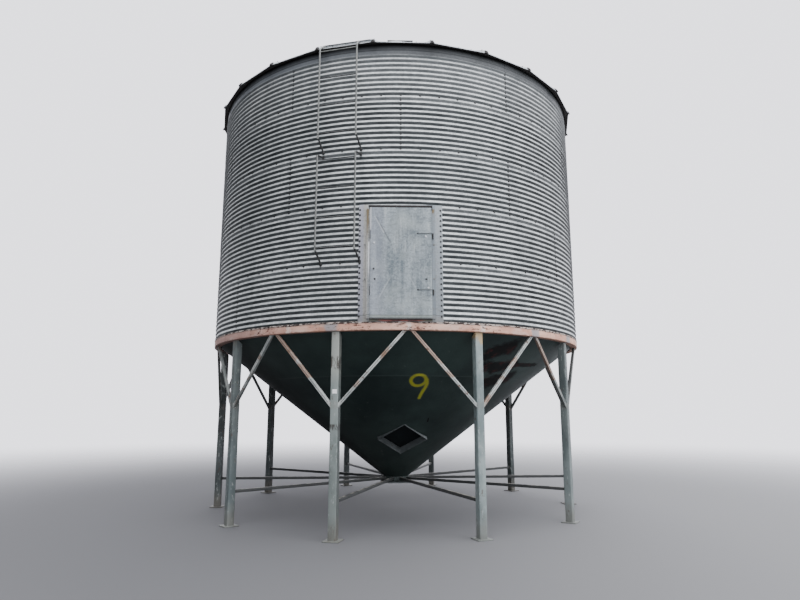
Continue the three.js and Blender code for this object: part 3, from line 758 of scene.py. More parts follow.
HOPPER_ENAMEL = hopper_enamel()
DULL_STEEL = dull_steel()
RUNG_LIT_AND_SHADED = rung_iron()
OLD_CAULK = old_caulk()
SILL_RED = sill_red()
DARK_IRON = mottled("dark_iron", (30, 32, 33), (66, 66, 64), (20.0, 4.0), (80.0, 3.0), 0.0006,
                    rough=0.55, metal=0.4)
# Near black: the hatch cover's dark paint together with painted shade of its recess.
HATCH_BLACK_AND_SHADE = mottled("hatch_black", (6, 10, 12), (18, 26, 28), (9.0, 5.0, 0.6), (30.0, 4.0), 0.001,
                      rough=0.7, gloss=0.25)
# Black foam and rubber, and also painted shade: in the door's gaps, under the hatch lid, at the eave and
# rib ends, and on the filler handle.
BLACK_SEAL_AND_SHADE = mottled("black_seal", (16, 17, 18), (46, 42, 40), (25.0, 5.0, 0.6), (40.0, 5.0), 0.002,
                     rough=0.85)
STICKER_WHITE = mottled("sticker_white", (236, 240, 240), (250, 252, 250), (40.0, 4.0), (60.0, 2.0),
                        0.0003, rough=0.4)
print("finishes:", len(bpy.data.materials))

# %% [markdown]
# ## Making and handing over pieces
#
# A few small helpers serve every piece. They turn what was drawn in bmesh into a mesh, make an object
# of it, apply its modifiers, round its edges and join pieces, and the last one hands the finished
# piece over to the body that it moves with.


# %% Piece helpers
def mesh_of(name, work):
    """The mesh of what was drawn in bmesh."""
    mesh = bpy.data.meshes.new(name)
    work.to_mesh(mesh)
    work.free()
    return mesh


def new_object(name, mesh):
    """An object of a mesh, put into the scene."""
    made = bpy.data.objects.new(name, mesh)
    scene.collection.objects.link(made)
    return made


def settle(piece):
    """Turns the result of the piece's modifiers into its plain mesh."""
    bpy.context.view_layer.update()
    graph = bpy.context.evaluated_depsgraph_get()
    mesh = bpy.data.meshes.new_from_object(piece.evaluated_get(graph))
    piece.modifiers.clear()
    piece.data = mesh
    return piece


def bevelled(piece, width, segments=2, angle=30.0):
    """Rounds the edges that turn by more than an angle."""
    bevel = piece.modifiers.new("bevel", "BEVEL")
    bevel.width = width
    bevel.segments = segments
    bevel.limit_method = "ANGLE"
    bevel.angle_limit = math.radians(angle)
    return settle(piece)


def merged(name, pieces):
    """One object from several, whose meshes are joined as they are."""
    work = bmesh.new()
    for piece in pieces:
        work.from_mesh(piece.data)
        bpy.data.objects.remove(piece)
    return new_object(name, mesh_of(name, work))


def hand_over(piece, look, replaces=(), body="bin", sharp=35.0):
    """Shades, paints and attaches a finished piece."""
    piece.data.materials.clear()
    piece.data.materials.append(look)
    piece.data.shade_smooth()
    piece.data.set_sharp_from_angle(angle=math.radians(sharp))
    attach(piece, body)
    if replaces:
        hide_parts(*replaces)
    return piece


# %% Shapes that are turned, or copied from the frame
def turned(name, profile, steps=180, first=0.0):
    """A ring turned about the axis from a closed profile of (radius, height) points.

    The profile can be a function that gives the points at an azimuth."""
    work = bmesh.new()
    rings = []
    for k in range(steps):
        azimuth = first + k * 360 / steps
        points = profile(azimuth) if callable(profile) else profile
        rings.append([work.verts.new(place(azimuth, r, z)) for r, z in points])
    for k in range(steps):
        here, there = rings[k], rings[(k + 1) % steps]
        for i in range(len(here)):
            j = (i + 1) % len(here)
            work.faces.new((here[i], there[i], there[j], here[j]))
    bmesh.ops.remove_doubles(work, verts=work.verts, dist=1e-6)
    bmesh.ops.recalc_face_normals(work, faces=work.faces)
    return new_object(name, mesh_of(name, work))


def softened(name, node, width, segments=2):
    """A copy of a node's mesh with its loose triangles merged into faces and its edges rounded."""
    work = bmesh.new()
    work.from_mesh(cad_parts[node].data)
    bmesh.ops.remove_doubles(work, verts=work.verts, dist=1e-5)
    bmesh.ops.dissolve_limit(work, angle_limit=math.radians(1.0), verts=work.verts, edges=work.edges)
    return bevelled(new_object(name, mesh_of(name, work)), width, segments)


def boxed(name, low, high, azimuth=0.0):
    """A box between two corners given as (across, out, height), turned to an azimuth."""
    work = bmesh.new()
    bmesh.ops.create_cube(work, size=1.0)
    for vert in work.verts:
        across, out, z = [a + (c + 0.5) * (b - a) for a, b, c in zip(low, high, vert.co)]
        vert.co = place(azimuth, out, z, across)
    bmesh.ops.recalc_face_normals(work, faces=work.faces)
    return new_object(name, mesh_of(name, work))


# %% [markdown]
# ## Geometry trees
#
# What repeats or follows a rule is grown by Geometry Nodes. A tree is built once with named inputs,
# and each piece gives its own values. An input is set by its identifier, which stays the same when
# its name changes, and the grown result is kept as a plain mesh.


# %% Geometry tree helper
class Grower(Graph):
    """A geometry tree with named inputs, which grows plain meshes."""

    def __init__(self, name, inputs):
        super().__init__(bpy.data.node_groups.new(name, "GeometryNodeTree"))
        face = self.tree.interface
        face.new_socket("Geometry", in_out="INPUT", socket_type="NodeSocketGeometry")
        face.new_socket("Geometry", in_out="OUTPUT", socket_type="NodeSocketGeometry")
        self.inputs = {}
        for label, start in inputs.items():
            kind = "NodeSocketInt" if isinstance(start, int) else "NodeSocketFloat"
            socket = face.new_socket(label, in_out="INPUT", socket_type=kind)
            socket.default_value = start
            self.inputs[label] = socket.identifier
        self.entry = self.tree.nodes.new("NodeGroupInput")

    def given(self, label):
        """The value of a named input."""
        return Value(self, self.entry.outputs[label])

    def end(self, shape, look):
        """Ends the tree: the instances become one mesh with one material."""
        whole = self.add("GeometryNodeRealizeInstances", {}, {"Geometry": shape})
        painted = self.add("GeometryNodeSetMaterial", {}, {"Geometry": whole, "Material": look})
        self.add("NodeGroupOutput", {}, {"Geometry": painted})

    def grow(self, name, mesh=None, **values):
        """What the tree makes of a mesh, with these values for its inputs."""
        source = new_object(name, mesh or bpy.data.meshes.new(name))
        modifier = source.modifiers.new(name, "NODES")
        modifier.node_group = self.tree
        for label, value in values.items():
            modifier[self.inputs[label.replace("_", " ")]] = value
        return settle(source)


# %% [markdown]
# ## Corrugated wall
#
# A wall sheet is a wave bent round the axis: the radius follows a cosine of the height, with the
# bolts in the valleys. Grown from a flat grid, each vertex is moved to `radius - wave * cos(height)`,
# so the waves are real geometry that catches the light. Five tiers have six sheets each. Neighbouring
# sheets lap, so every sheet leans out by a little over its own thickness at its foot and at its left
# end, and in by as much at its top and its right end.

# %% Corrugated sheet tree
LAP_TALL = 0.038
LAP_LEAN = 0.0016
ROWS_A_WAVE = 8
COLUMN_DEG = 1.5

sheets = Grower("corrugated sheet", {
    "Start": -30.0, "Span": SHEET_DEG, "Foot": WALL_FOOT, "Tall": TIER, "Columns": 41, "Rows": 89,
    "Radius": WALL_R, "Wave": WAVE, "Pitch": PITCH, "Lean": LAP_LEAN})
grid = sheets.add("GeometryNodeMeshGrid", {}, {
    "Size X": 1.0, "Size Y": 1.0,
    "Vertices X": sheets.given("Columns"), "Vertices Y": sheets.given("Rows")})
grid_x, grid_y = sheets.split(sheets.add("GeometryNodeInputPosition"))[:2]
u = grid_x + 0.5
v = grid_y + 0.5
angle = (sheets.given("Start") + sheets.given("Span") * u) * (math.pi / 180)
height = sheets.given("Foot") + sheets.given("Tall") * v
ripple = sheets.math("COSINE", (height - WALL_FOOT) / sheets.given("Pitch") * (2 * math.pi))
flatten = sheets.smooth(height, below_eave(2.0), PLAIN_FOOT)
radius = sheets.given("Radius") - sheets.given("Wave") * ripple * flatten
radius = radius + sheets.given("Lean") * (1 - u - v)
bent = sheets.add("GeometryNodeSetPosition", {}, {
    "Geometry": grid,
    "Position": sheets.joined(radius * sheets.math("SINE", angle),
                              radius * sheets.math("COSINE", angle) * -1.0, height)})
sheets.end(bent, WALL_ZINC)

# %% Thirty sheets
DOOR_REACH = 9.0
LAP_DEG = 0.9


def sheet_spans(tier):
    """The (start, span) of each sheet of a tier, cut back beside the doorway in the lower two."""
    spans = []
    for k in range(SHEETS):
        low = SEAM_FIRST[tier] + k * SHEET_DEG
        ahead = from_front(low)
        if tier >= DOOR_TIERS or ahead > DOOR_REACH or ahead + SHEET_DEG < -DOOR_REACH:
            spans.append((low, SHEET_DEG + LAP_DEG))
        else:
            if ahead < -DOOR_REACH:
                spans.append((ahead, -DOOR_REACH - ahead))
            spans.append((DOOR_REACH, ahead + SHEET_DEG - DOOR_REACH + LAP_DEG))
    return [(low, span) for low, span in spans if span > 2 * LAP_DEG]


wall_triangles = 0
for tier in range(TIERS):
    foot = WALL_FOOT + tier * TIER - (LAP_TALL if tier else -GAP)
    top = WALL_FOOT + (tier + 1) * TIER + (LAP_TALL if tier < TIERS - 1 else 0.0)
    rows = round((top - foot) / PITCH * ROWS_A_WAVE) + 1
    parts = [sheets.grow("sheet", Start=low, Span=span, Foot=foot, Tall=top - foot,
                         Columns=max(4, round(span / COLUMN_DEG) + 1), Rows=rows)
             for low, span in sheet_spans(tier)]
    wall = merged(f"wall_sheets_{tier + 1}", parts)
    skin = wall.modifiers.new("skin", "SOLIDIFY")
    skin.thickness = SHEET
    skin.offset = -1.0
    settle(wall)
    wall_triangles += 2 * len(wall.data.polygons)
    hand_over(wall, WALL_ZINC, [f"wall_tier_{tier + 1}"], sharp=60.0)
print("wall triangles:", wall_triangles)

# %% [markdown]
# ## Bolts
#
# The bin has hundreds of bolts, each a small hex head on a washer. They could be copied in a loop,
# but instancing on points says it better: the mesh that goes in has one vertex for each bolt, with
# the way it faces as an attribute, and the tree puts a head there and twists it by a random angle.

# %% Bolt tree
WASHER_THICK = 0.003

bolts = Grower("bolts", {"Head": 0.0090, "Tall": 0.008, "Washer": 0.0140, "Seed": 5})
washer = bolts.add("GeometryNodeMeshCylinder", {}, {
    "Vertices": 10, "Radius": bolts.given("Washer"), "Depth": WASHER_THICK})
head = bolts.add("GeometryNodeMeshCone", {}, {
    "Vertices": 6, "Radius Top": bolts.given("Head") * 0.88, "Radius Bottom": bolts.given("Head"),
    "Depth": bolts.given("Tall")})
lifted = bolts.add("GeometryNodeTransform", {}, {
    "Geometry": head, "Translation": bolts.joined(0.0, 0.0, WASHER_THICK / 2)})
both = bolts.tree.nodes.new("GeometryNodeJoinGeometry")
bolts.tree.links.new(washer.socket, both.inputs[0])
bolts.tree.links.new(lifted.socket, both.inputs[0])
facing = bolts.add("GeometryNodeInputNamedAttribute", {"data_type": "FLOAT_VECTOR"}, {"Name": "facing"})
turned_out = bolts.add("FunctionNodeAlignRotationToVector", {"axis": "Z"}, {"Vector": facing})
heads = bolts.add("GeometryNodeInstanceOnPoints", {}, {
    "Points": bolts.given("Geometry"), "Instance": Value(bolts, both.outputs[0]), "Rotation": turned_out})
twist = bolts.add("FunctionNodeRandomValue", {"data_type": "FLOAT"},
                  {2: 0.0, 3: 2 * math.pi, 8: bolts.given("Seed")}, 1)
spin = bolts.add("FunctionNodeEulerToRotation", {}, {0: bolts.joined(0.0, 0.0, twist)})
twisted = bolts.add("GeometryNodeRotateInstances", {}, {
    "Instances": heads, "Rotation": spin, "Local Space": True})
bolts.end(twisted, BOLT_ZINC)


def bolted(name, places, look=None, slot="galvanised", body="bin", **sizes):
    """Bolts at a list of (place, facing)."""
    mesh = bpy.data.meshes.new(name)
    mesh.from_pydata([tuple(at) for at, way in places], [], [])
    attribute = mesh.attributes.new("facing", "FLOAT_VECTOR", "POINT")
    attribute.data.foreach_set("vector", [c for at, way in places for c in way])
    return hand_over(bolts.grow(name, mesh, **sizes), look or BOLT_ZINC, body=body)


# %% Bolts of the wall
BOLTS_ROUND = 72
CASING_REACH = 11.2
WALL_FACE = WALL_R + WAVE + 0.001


def wall_radius(z):
    """The wall's outer face at a height, waves included."""
    return WALL_R - WAVE * math.cos((z - WALL_FOOT) / PITCH * 2 * math.pi)


def clear_of_door(azimuth, z):
    """True beside the door's casing or above the two tiers that it stands in."""
    return abs(from_front(azimuth)) > CASING_REACH or z > WALL_FOOT + DOOR_TIERS * TIER + 0.01


wall_bolts = []
for tier in range(1, TIERS):
    z = WALL_FOOT + tier * TIER
    for k in range(BOLTS_ROUND):
        azimuth = k * 360 / BOLTS_ROUND
        if clear_of_door(azimuth, z - 0.02):
            wall_bolts.append((place(azimuth, wall_radius(z) + 0.003, z), outward(azimuth)))
for tier in range(TIERS):
    for k in range(SHEETS):
        azimuth = SEAM_FIRST[tier] + k * SHEET_DEG
        for wave in range(1, WAVES):
            z = WALL_FOOT + tier * TIER + wave * PITCH
            if clear_of_door(azimuth, z) and z < below_eave(2.5):
                wall_bolts.append((place(azimuth, wall_radius(z) + 0.002, z), outward(azimuth)))
bolted("wall_bolts", wall_bolts)
print("wall bolts:", len(wall_bolts))

# %% [markdown]
# ## Tubes
#
# Ladder stiles, rungs, handles and weld beads are all a round section along a path. The path goes in
# as a line of edges, the tree rounds its corners and sweeps a circle along it.

# %% Tube tree
tubes = Grower("tubes", {"Radius": 0.015, "Bend": 0.05, "Sides": 12})
path = tubes.add("GeometryNodeMeshToCurve", {}, {"Mesh": tubes.given("Geometry")})
eased = tubes.add("GeometryNodeFilletCurve", {"mode": "POLY"}, {
    "Curve": path, "Count": 5, "Radius": tubes.given("Bend"), "Limit Radius": True})
section = tubes.add("GeometryNodeCurvePrimitiveCircle", {}, {
    "Resolution": tubes.given("Sides"), "Radius": tubes.given("Radius")})
swept = tubes.add("GeometryNodeCurveToMesh", {}, {
    "Curve": eased, "Profile Curve": section, "Fill Caps": True})
tubes.end(swept, LADDER_ZINC)


def tubed(name, paths, closed=False, **sizes):
    """Round bars along lists of points."""
    points = [tuple(point) for one in paths for point in one]
    edges = []
    start = 0
    for one in paths:
        edges += [(start + i, start + i + 1) for i in range(len(one) - 1)]
        if closed:
            edges.append((start + len(one) - 1, start))
        start += len(one)
    mesh = bpy.data.meshes.new(name)
    mesh.from_pydata(points, edges, [])
    return tubes.grow(name, mesh, **sizes)


# %% [markdown]
# ## Ladders
#
# Two ladder sections climb beside the door. The stiles are pale tubes, and their ends bend in to the
# wall and are bolted to it through small pads. The upper pair runs over the eave and lies on the roof,
# so the heights of the roof come first. The two azimuths of a stile are its own and that of its pads.
# The three heights of a section are its foot, its top and its first rung.

# %% Roof heights
ROOF_EDGE = 2.974
ROOF_SLOPE = math.radians(30.0)
ROOF_DROP = 0.026
ROOF_THICK = 0.010
RIBS = 24
RIB_AZ = 8.0
PANEL_COS = math.cos(math.pi / RIBS)


def roof_top(r):
    """Height of the roof sheet's top at a distance out along the middle of a panel."""
    under = EAVE - ROOF_DROP + (ROOF_EDGE - r) * math.tan(ROOF_SLOPE)
    return under + ROOF_THICK / math.cos(ROOF_SLOPE)


def off_middle(azimuth):
    """The cosine of the angle between an azimuth and the middle of its roof panel."""
    panel = 360 / RIBS
    return math.cos(math.radians((azimuth - RIB_AZ) % panel - panel / 2))


# %% Ladders
STILES = ((-20.10, -20.0), (-10.65, -10.0))
STILE_R = 0.012
STILE_OUT = 3.094
STILE_SEAT = WALL_FACE + STILE_R
STILE_RISE = 0.145
STILE_DROP = 0.035
RUNG_R = 0.007
RUNG_PITCH = 0.386
RUNGS = 4
PAD_SIZE = (0.034, 0.050)
PAD_THICK = 0.007
BEND_OUT = 2.990
OVER_EAVE_R = 2.930


def ladder_pad(azimuth, z):
    """A small plate on the wall that a stile's end is bolted through."""
    wide, tall = PAD_SIZE
    plate = boxed("pad", (-wide / 2, WALL_FACE, z - tall / 2),
                  (wide / 2, WALL_FACE + PAD_THICK, z + tall / 2), azimuth)
    return bevelled(plate, 0.002)


LADDERS = (("ladder_lower", WALL_FOOT + 0.750, WALL_FOOT + 2.140, WALL_FOOT + 0.915),
           ("ladder_upper", WALL_FOOT + 2.240, EAVE - 0.100, WALL_FOOT + 2.430))
for name, foot, top, first in LADDERS:
    rails = []
    ends = []
    pads = []
    for azimuth, pad_az in STILES:
        bend = foot + STILE_RISE
        rail = [place(azimuth, STILE_OUT, bend - 0.02), place(azimuth, STILE_OUT, top)]
        ends.append([place(pad_az, STILE_SEAT, foot - 0.01), place(pad_az, STILE_SEAT + 0.01, foot + 0.02),
                     place(azimuth, STILE_OUT, bend), place(azimuth, STILE_OUT, bend + 0.04)])
        pads.append((pad_az, foot))
        if top > EAVE - TIER:
            over = roof_top(OVER_EAVE_R * off_middle(azimuth)) + STILE_R / math.cos(ROOF_SLOPE) + 0.001
            rail.append(place(azimuth, BEND_OUT, EAVE + 0.008))
            rail.append(place(azimuth, OVER_EAVE_R, over))
        else:
            ends.append([place(azimuth, STILE_OUT, top - 0.03), place(azimuth, STILE_OUT, top),
                         place(pad_az, STILE_SEAT, top + STILE_DROP)])
            pads.append((pad_az, top + STILE_DROP))
        rails.append(rail)
    rungs = [[place(azimuth, STILE_OUT, first + k * RUNG_PITCH) for azimuth, pad_az in STILES]
             for k in range(RUNGS)]
    rail_pair = tubed(name + "_rails", rails, Radius=STILE_R, Bend=0.05)
    hand_over(rail_pair, LADDER_ZINC, [name])
    hand_over(tubed(name + "_ends", ends, Radius=STILE_R * 1.02, Bend=0.07), DARK_IRON)
    if top > EAVE - TIER:
        hand_over(tubed("top_rung", [rungs.pop()], Radius=RUNG_R, Sides=10), LADDER_ZINC)
    hand_over(tubed(name + "_rungs", rungs, Radius=RUNG_R, Sides=10), RUNG_LIT_AND_SHADED)
    hand_over(merged(name + "_pads", [ladder_pad(*pad) for pad in pads]), DARK_IRON)
    pad_bolts = [(place(azimuth, WALL_FACE + PAD_THICK + 0.002, z - 0.018), outward(azimuth))
                 for azimuth, z in pads]
    bolted(name + "_bolts", pad_bolts, slot="ladder_steel")

# %% [markdown]
# ## Ring beam and hopper
#
# Both are turned about the axis. The ring is a rolled channel with eased corners. The cone is a thin
# shell with a weld seam round it, and its hatch opening is cut by a boolean with a square prism that
# stands on its corner.

# %% Ring beam
RING_PLATE = 0.010
RING_FLANGE = 0.095
WALL_IN = WALL_R - WALL_DEPTH / 2
ring = turned("ring_beam_channel", [
    (RING_OUT - RING_FLANGE, RING_FOOT), (RING_OUT, RING_FOOT), (RING_OUT, WALL_FOOT),
    (WALL_IN, WALL_FOOT), (WALL_IN, WALL_FOOT - RING_PLATE),
    (RING_OUT - RING_PLATE, WALL_FOOT - RING_PLATE), (RING_OUT - RING_PLATE, RING_FOOT + RING_PLATE),
    (RING_OUT - RING_FLANGE, RING_FOOT + RING_PLATE)], 240)
bevelled(ring, 0.004, 3)
hand_over(ring, PRIMER, ["ring_beam"])


def ragged_bead(azimuth):
    """The section of an old caulk bead over the ring's upper edge, with a wandering lower edge."""
    sway = noise.noise(place(azimuth, 14.0, 0.3)) + 0.6 * noise.noise(place(azimuth, 50.0, 1.3))
    drop = 0.014 + 0.012 * sway
    push = 0.004 + 0.003 * noise.noise(place(azimuth, 30.0, 4.0))
    return [(RING_OUT - 0.002, WALL_FOOT - drop), (RING_OUT + push * 0.6, WALL_FOOT - drop + 0.003),
            (RING_OUT + push, WALL_FOOT - 0.001), (RING_OUT - 0.002, WALL_FOOT + 0.007),
            (WALL_R - WAVE + 0.001, WALL_FOOT + 0.010), (WALL_R - WAVE + 0.001, WALL_FOOT + GAP)]


hand_over(turned("ring_caulk", ragged_bead, 720), OLD_CAULK, sharp=80.0)

# %% Hopper cone
OUTLET_IN = 0.196
CONE_THICK = 0.006
CONE_RISE = CONE_THICK * CONE_SLOPE
SEAM_HALF = 0.010
SEAM_BULGE = 0.0025


def cone_under(r):
    """Height of the cone's underside at a distance out."""
    return CONE_APEX + CONE_TAN * r


CONE_LIP = WALL_FOOT + 0.030
cone_out = WALL_IN - GAP
cone_in = cone_out - CONE_THICK
cone_profile = [(OUTLET_IN, cone_under(OUTLET_IN))]
for part in (-1.0, -0.5, 0.0, 0.5, 1.0):
    r = CONE_SEAM_OUT + part * SEAM_HALF
    cone_profile.append((r, cone_under(r) - SEAM_BULGE * (1 - abs(part))))
cone_profile += [(cone_out, cone_under(cone_out)), (cone_out, CONE_LIP), (cone_in, CONE_LIP),
                 (cone_in, cone_under(cone_in) + CONE_RISE),
                 (OUTLET_IN, cone_under(OUTLET_IN) + CONE_RISE)]
cone = turned("hopper_shell", cone_profile, 180)

HATCH_AZ = 4.3
HATCH_OUT = 1.010
HATCH_SIDE = 0.523
CUTTER_DEEP = 0.3
work = bmesh.new()
bmesh.ops.create_cube(work, size=1.0)
side = HATCH_SIDE + 2 * GAP
bmesh.ops.scale(work, verts=work.verts, vec=(side, side, CUTTER_DEEP))
tilt = Matrix.Rotation(-math.atan(CONE_TAN), 4, "X") @ Matrix.Rotation(math.pi / 4, 4, "Z")
turn = Matrix.Rotation(math.radians(HATCH_AZ), 4, "Z")
work.transform(Matrix.Translation(place(HATCH_AZ, HATCH_OUT, cone_under(HATCH_OUT))) @ turn @ tilt)
cutter = new_object("hatch_cutter", mesh_of("hatch_cutter", work))
cut = cone.modifiers.new("hatch opening", "BOOLEAN")
cut.operation = "DIFFERENCE"
cut.object = cutter
settle(cone)
bpy.data.objects.remove(cutter)
hand_over(cone, HOPPER_ENAMEL, ["hopper_cone"])
print("hopper faces:", len(cone.data.polygons))

# %% Hatch, outlet and gate
hand_over(softened("hatch_rim", "hatch_frame", 0.002), DULL_STEEL, ["hatch_frame"])
hand_over(softened("hatch_plate", "hatch_cover", 0.002), HATCH_BLACK_AND_SHADE, ["hatch_cover"])
OUTLET_OUT = 0.206
OUTLET_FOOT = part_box("outlet_collar")[0].z
OUTLET_FLANGE = 0.250
OUTLET_BOLTS = 10
OUTLET_BOLT_OUT = 0.228
flange_top = OUTLET_FOOT + 0.010
collar_top = cone_under(OUTLET_IN) - GAP
outlet = turned("outlet_ring", [
    (OUTLET_IN, OUTLET_FOOT), (OUTLET_FLANGE, OUTLET_FOOT), (OUTLET_FLANGE, flange_top),
    (OUTLET_OUT, flange_top), (OUTLET_OUT, collar_top), (OUTLET_IN, collar_top)], 96)
hand_over(bevelled(outlet, 0.0015), HOPPER_ENAMEL, ["outlet_collar"])
hand_over(softened("gate_plate", "slide_gate", 0.0015), DULL_STEEL, ["slide_gate"])
flange_bolts = [(place(k * 360 / OUTLET_BOLTS + 9.0, OUTLET_BOLT_OUT, flange_top), (0.0, 0.0, 1.0))
                for k in range(OUTLET_BOLTS)]
bolted("outlet_bolts", flange_bolts, slot="dull_steel")

# %% [markdown]
# ## Legs, braces and ties
#
# The legs are square tubes with rounded corners, cut at the top along the cone. Each is its section
# drawn twice, at the foot and at the top, where every point under the cone is lowered to it. Braces
# and ties are bars with eased edges, and small weld beads run where a brace meets its leg and the
# ring.

# %% Legs
LEG_SIZE = 0.100
LEG_OUT = 2.882
LEG_SEAT = 0.034
LEG_CORNER = 0.009
FOOT_SIZE = 0.200
FOOT_THICK = 0.012


def tube_section(kink):
    """The rounded square of a leg as (across, out) points, two of them where its cut begins."""
    half = LEG_SIZE / 2
    points = []
    for corner in range(4):
        for step in range(4):
            angle = math.radians(corner * 90 + step * 30)
            centre = half - LEG_CORNER
            cx = centre * (1 if corner in (0, 3) else -1)
            cy = centre * (1 if corner in (0, 1) else -1)
            points.append((cx + LEG_CORNER * math.cos(angle), cy + LEG_CORNER * math.sin(angle)))
    return sorted(points + [(-half, kink), (half, kink)], key=lambda p: math.atan2(p[1], p[0]))


def leg_shape(name, azimuth):
    """A leg's tube, flat on top under the ring and sloped further in, under the cone."""
    work = bmesh.new()
    kink = LEG_SIZE / 2 - LEG_SEAT
    section = tube_section(kink)
    top = RING_FOOT - GAP
    low, high = [], []
    for across, deep in section:
        out = LEG_OUT - LEG_SIZE / 2 + deep
        cut = max(0.0, LEG_OUT - LEG_SEAT - out) * CONE_TAN
        low.append(work.verts.new(place(azimuth, out, FOOT_THICK - 0.001, across)))
        high.append(work.verts.new(place(azimuth, out, top - cut, across)))
    for i in range(len(section)):
        j = (i + 1) % len(section)
        work.faces.new((low[i], low[j], high[j], high[i]))
    work.faces.new(list(reversed(low)))
    cap = work.faces.new(high)
    bends = [high[i] for i, (across, deep) in enumerate(section) if abs(deep - kink) < 1e-6]
    bmesh.utils.face_split(cap, bends[0], bends[1])
    bmesh.ops.recalc_face_normals(work, faces=work.faces)
    return new_object(name, mesh_of(name, work))


for k in range(LEGS):
    azimuth = LEG_FIRST_AZ + k * BAY
    middle = LEG_OUT - LEG_SIZE / 2
    plate = bevelled(boxed("plate", (-FOOT_SIZE / 2, middle - FOOT_SIZE / 2, 0.0),
                           (FOOT_SIZE / 2, middle + FOOT_SIZE / 2, FOOT_THICK), azimuth), 0.002)
    leg = merged(f"leg_{k + 1:02d}_tube", [leg_shape("tube", azimuth), plate])
    hand_over(leg, LEG_PAINT, [f"leg_{k + 1:02d}"])

# %% Braces and ties
for k in range(LEGS):
    for side in ("left", "right"):
        node = f"brace_{k + 1:02d}_{side}"
        hand_over(softened(node + "_bar", node, 0.004, 3), BRACE_PAINT, [node])
    node = f"floor_tie_{k + 1:02d}"
    hand_over(softened(node + "_bar", node, 0.003, 2), TIE_PAINT, [node])

# %% Weld beads
BRACE_TOP_OFFSET = 0.046
BRACE_TOP_R = 2.875
BRACE_DEEP = 0.038
BEAD_DEEP = 0.020
BEAD_LONG = 0.028
BRACE_LEG_OUT = LEG_OUT - 0.027
CORNERS = ((-1, -1), (1, -1), (1, 1), (-1, 1))
beads = []
seams = []
for k in range(LEGS):
    leg_az = LEG_FIRST_AZ + k * BAY
    for side in (-1, 1):
        across = -side * (LEG_SIZE / 2 + 0.001)
        beads.append([place(leg_az, BRACE_LEG_OUT + i * BEAD_DEEP, BRACE_LEG_Z + j * BEAD_LONG, across)
                      for i, j in CORNERS])
        bay_az = leg_az - side * BAY / 2
        beads.append([place(bay_az, BRACE_TOP_R + j * BEAD_DEEP, RING_FOOT - 0.002,
                            side * BRACE_TOP_OFFSET + i * BEAD_LONG) for i, j in CORNERS])
        top = place(bay_az, BRACE_TOP_R, RING_FOOT, side * BRACE_TOP_OFFSET)
        foot = place(leg_az, BRACE_LEG_OUT, BRACE_LEG_Z, across)
        along = (foot - top).normalized()
        out = outward((bay_az + leg_az) / 2)
        lift = (out - along * out.dot(along)).normalized() * (BRACE_DEEP / 2 - 0.001)
        seams.append([top + along * 0.025 + lift, foot - along * 0.045 + lift])
welds = tubed("weld_beads", beads, closed=True, Radius=0.0035, Bend=0.006, Sides=6)
hand_over(welds, BRACE_PAINT)
hand_over(tubed("brace_seams", seams, Radius=0.0030, Sides=6), DARK_IRON)
print("weld beads:", len(beads))

# %% Blank sticker
STICKER_LOW = (-0.023, LEG_OUT - 0.0005, 1.696)
STICKER_HIGH = (0.034, LEG_OUT + 0.0006, 1.747)
sticker = boxed("leg_sticker", STICKER_LOW, STICKER_HIGH, LEG_FIRST_AZ - BAY)
hand_over(sticker, STICKER_WHITE)

# %% [markdown]
# ## Door
#
# The door is a folded sheet pan. Its face is cross-broken: faint creases run from the corners to a
# small rectangle in the middle, which stiffens the sheet. A grid with a truncated pyramid as its
# height gives those creases as real folds. The frame keeps its shape from the construction.

# %% Door panel
DOOR_WIDE = 0.766
DOOR_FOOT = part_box("door")[0].z
DOOR_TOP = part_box("door")[1].z
DOOR_MIDDLE = (DOOR_FOOT + DOOR_TOP) / 2
FRAME_FACE = 2.938
DOOR_FACE = FRAME_FACE + 0.006
DOOR_THICK = 0.022
DOOR_FRONT = DOOR_FACE + DOOR_THICK
DOOR_EDGE = 0.002
CREASE_DEEP = 0.0045
CREASE_INSET = 0.045
FLAT_HALF = (0.11, 0.20)
BUCKLE_DEEP = 0.0012


def crease(across, z):
    """How far the face stands out of its rim: a shallow pyramid cut off at the middle."""
    wide = DOOR_WIDE / 2 - CREASE_INSET
    tall = (DOOR_TOP - DOOR_FOOT) / 2 - CREASE_INSET
    side = (wide - abs(across)) / (wide - FLAT_HALF[0])
    end = (tall - abs(z - DOOR_MIDDLE)) / (tall - FLAT_HALF[1])
    return CREASE_DEEP * max(0.0, min(1.0, side, end))


work = bmesh.new()
bmesh.ops.create_grid(work, x_segments=52, y_segments=94, size=0.5)
for vert in work.verts:
    across = vert.co.x * (DOOR_WIDE - 2 * DOOR_EDGE)
    z = DOOR_MIDDLE + vert.co.y * (DOOR_TOP - DOOR_FOOT - 2 * DOOR_EDGE)
    buckle = BUCKLE_DEEP * noise.noise(Vector((across * 3.0, 0.0, z * 3.0)))
    rim = min(1.0, (DOOR_WIDE / 2 - abs(across)) / 0.08)
    out = DOOR_FRONT - 0.004 + crease(across, z) + buckle * rim
    vert.co = Vector((across, -out, z))
face = new_object("door_face", mesh_of("door_face", work))
pan = face.modifiers.new("pan", "SOLIDIFY")
pan.thickness = DOOR_THICK - 0.006
pan.offset = -1.0
settle(face)
work = bmesh.new()
work.from_mesh(face.data)
bmesh.ops.recalc_face_normals(work, faces=work.faces)
work.to_mesh(face.data)
work.free()
hand_over(bevelled(face, DOOR_EDGE), DOOR_ZINC, ["door"], body="door", sharp=40.0)

# %% Door hardware
HINGE_ZS = (2.933, 3.643)
HINGE_R = 0.009
BARREL_TALL = 0.060
ROD_TALL = 0.012
HINGE_X = DOOR_WIDE / 2 + HINGE_R + 0.006
HINGE_OUT = DOOR_FRONT - HINGE_R
ROD_PATH = ((0.207, -0.002), (0.212, 0.004), (HINGE_X, 0.003))


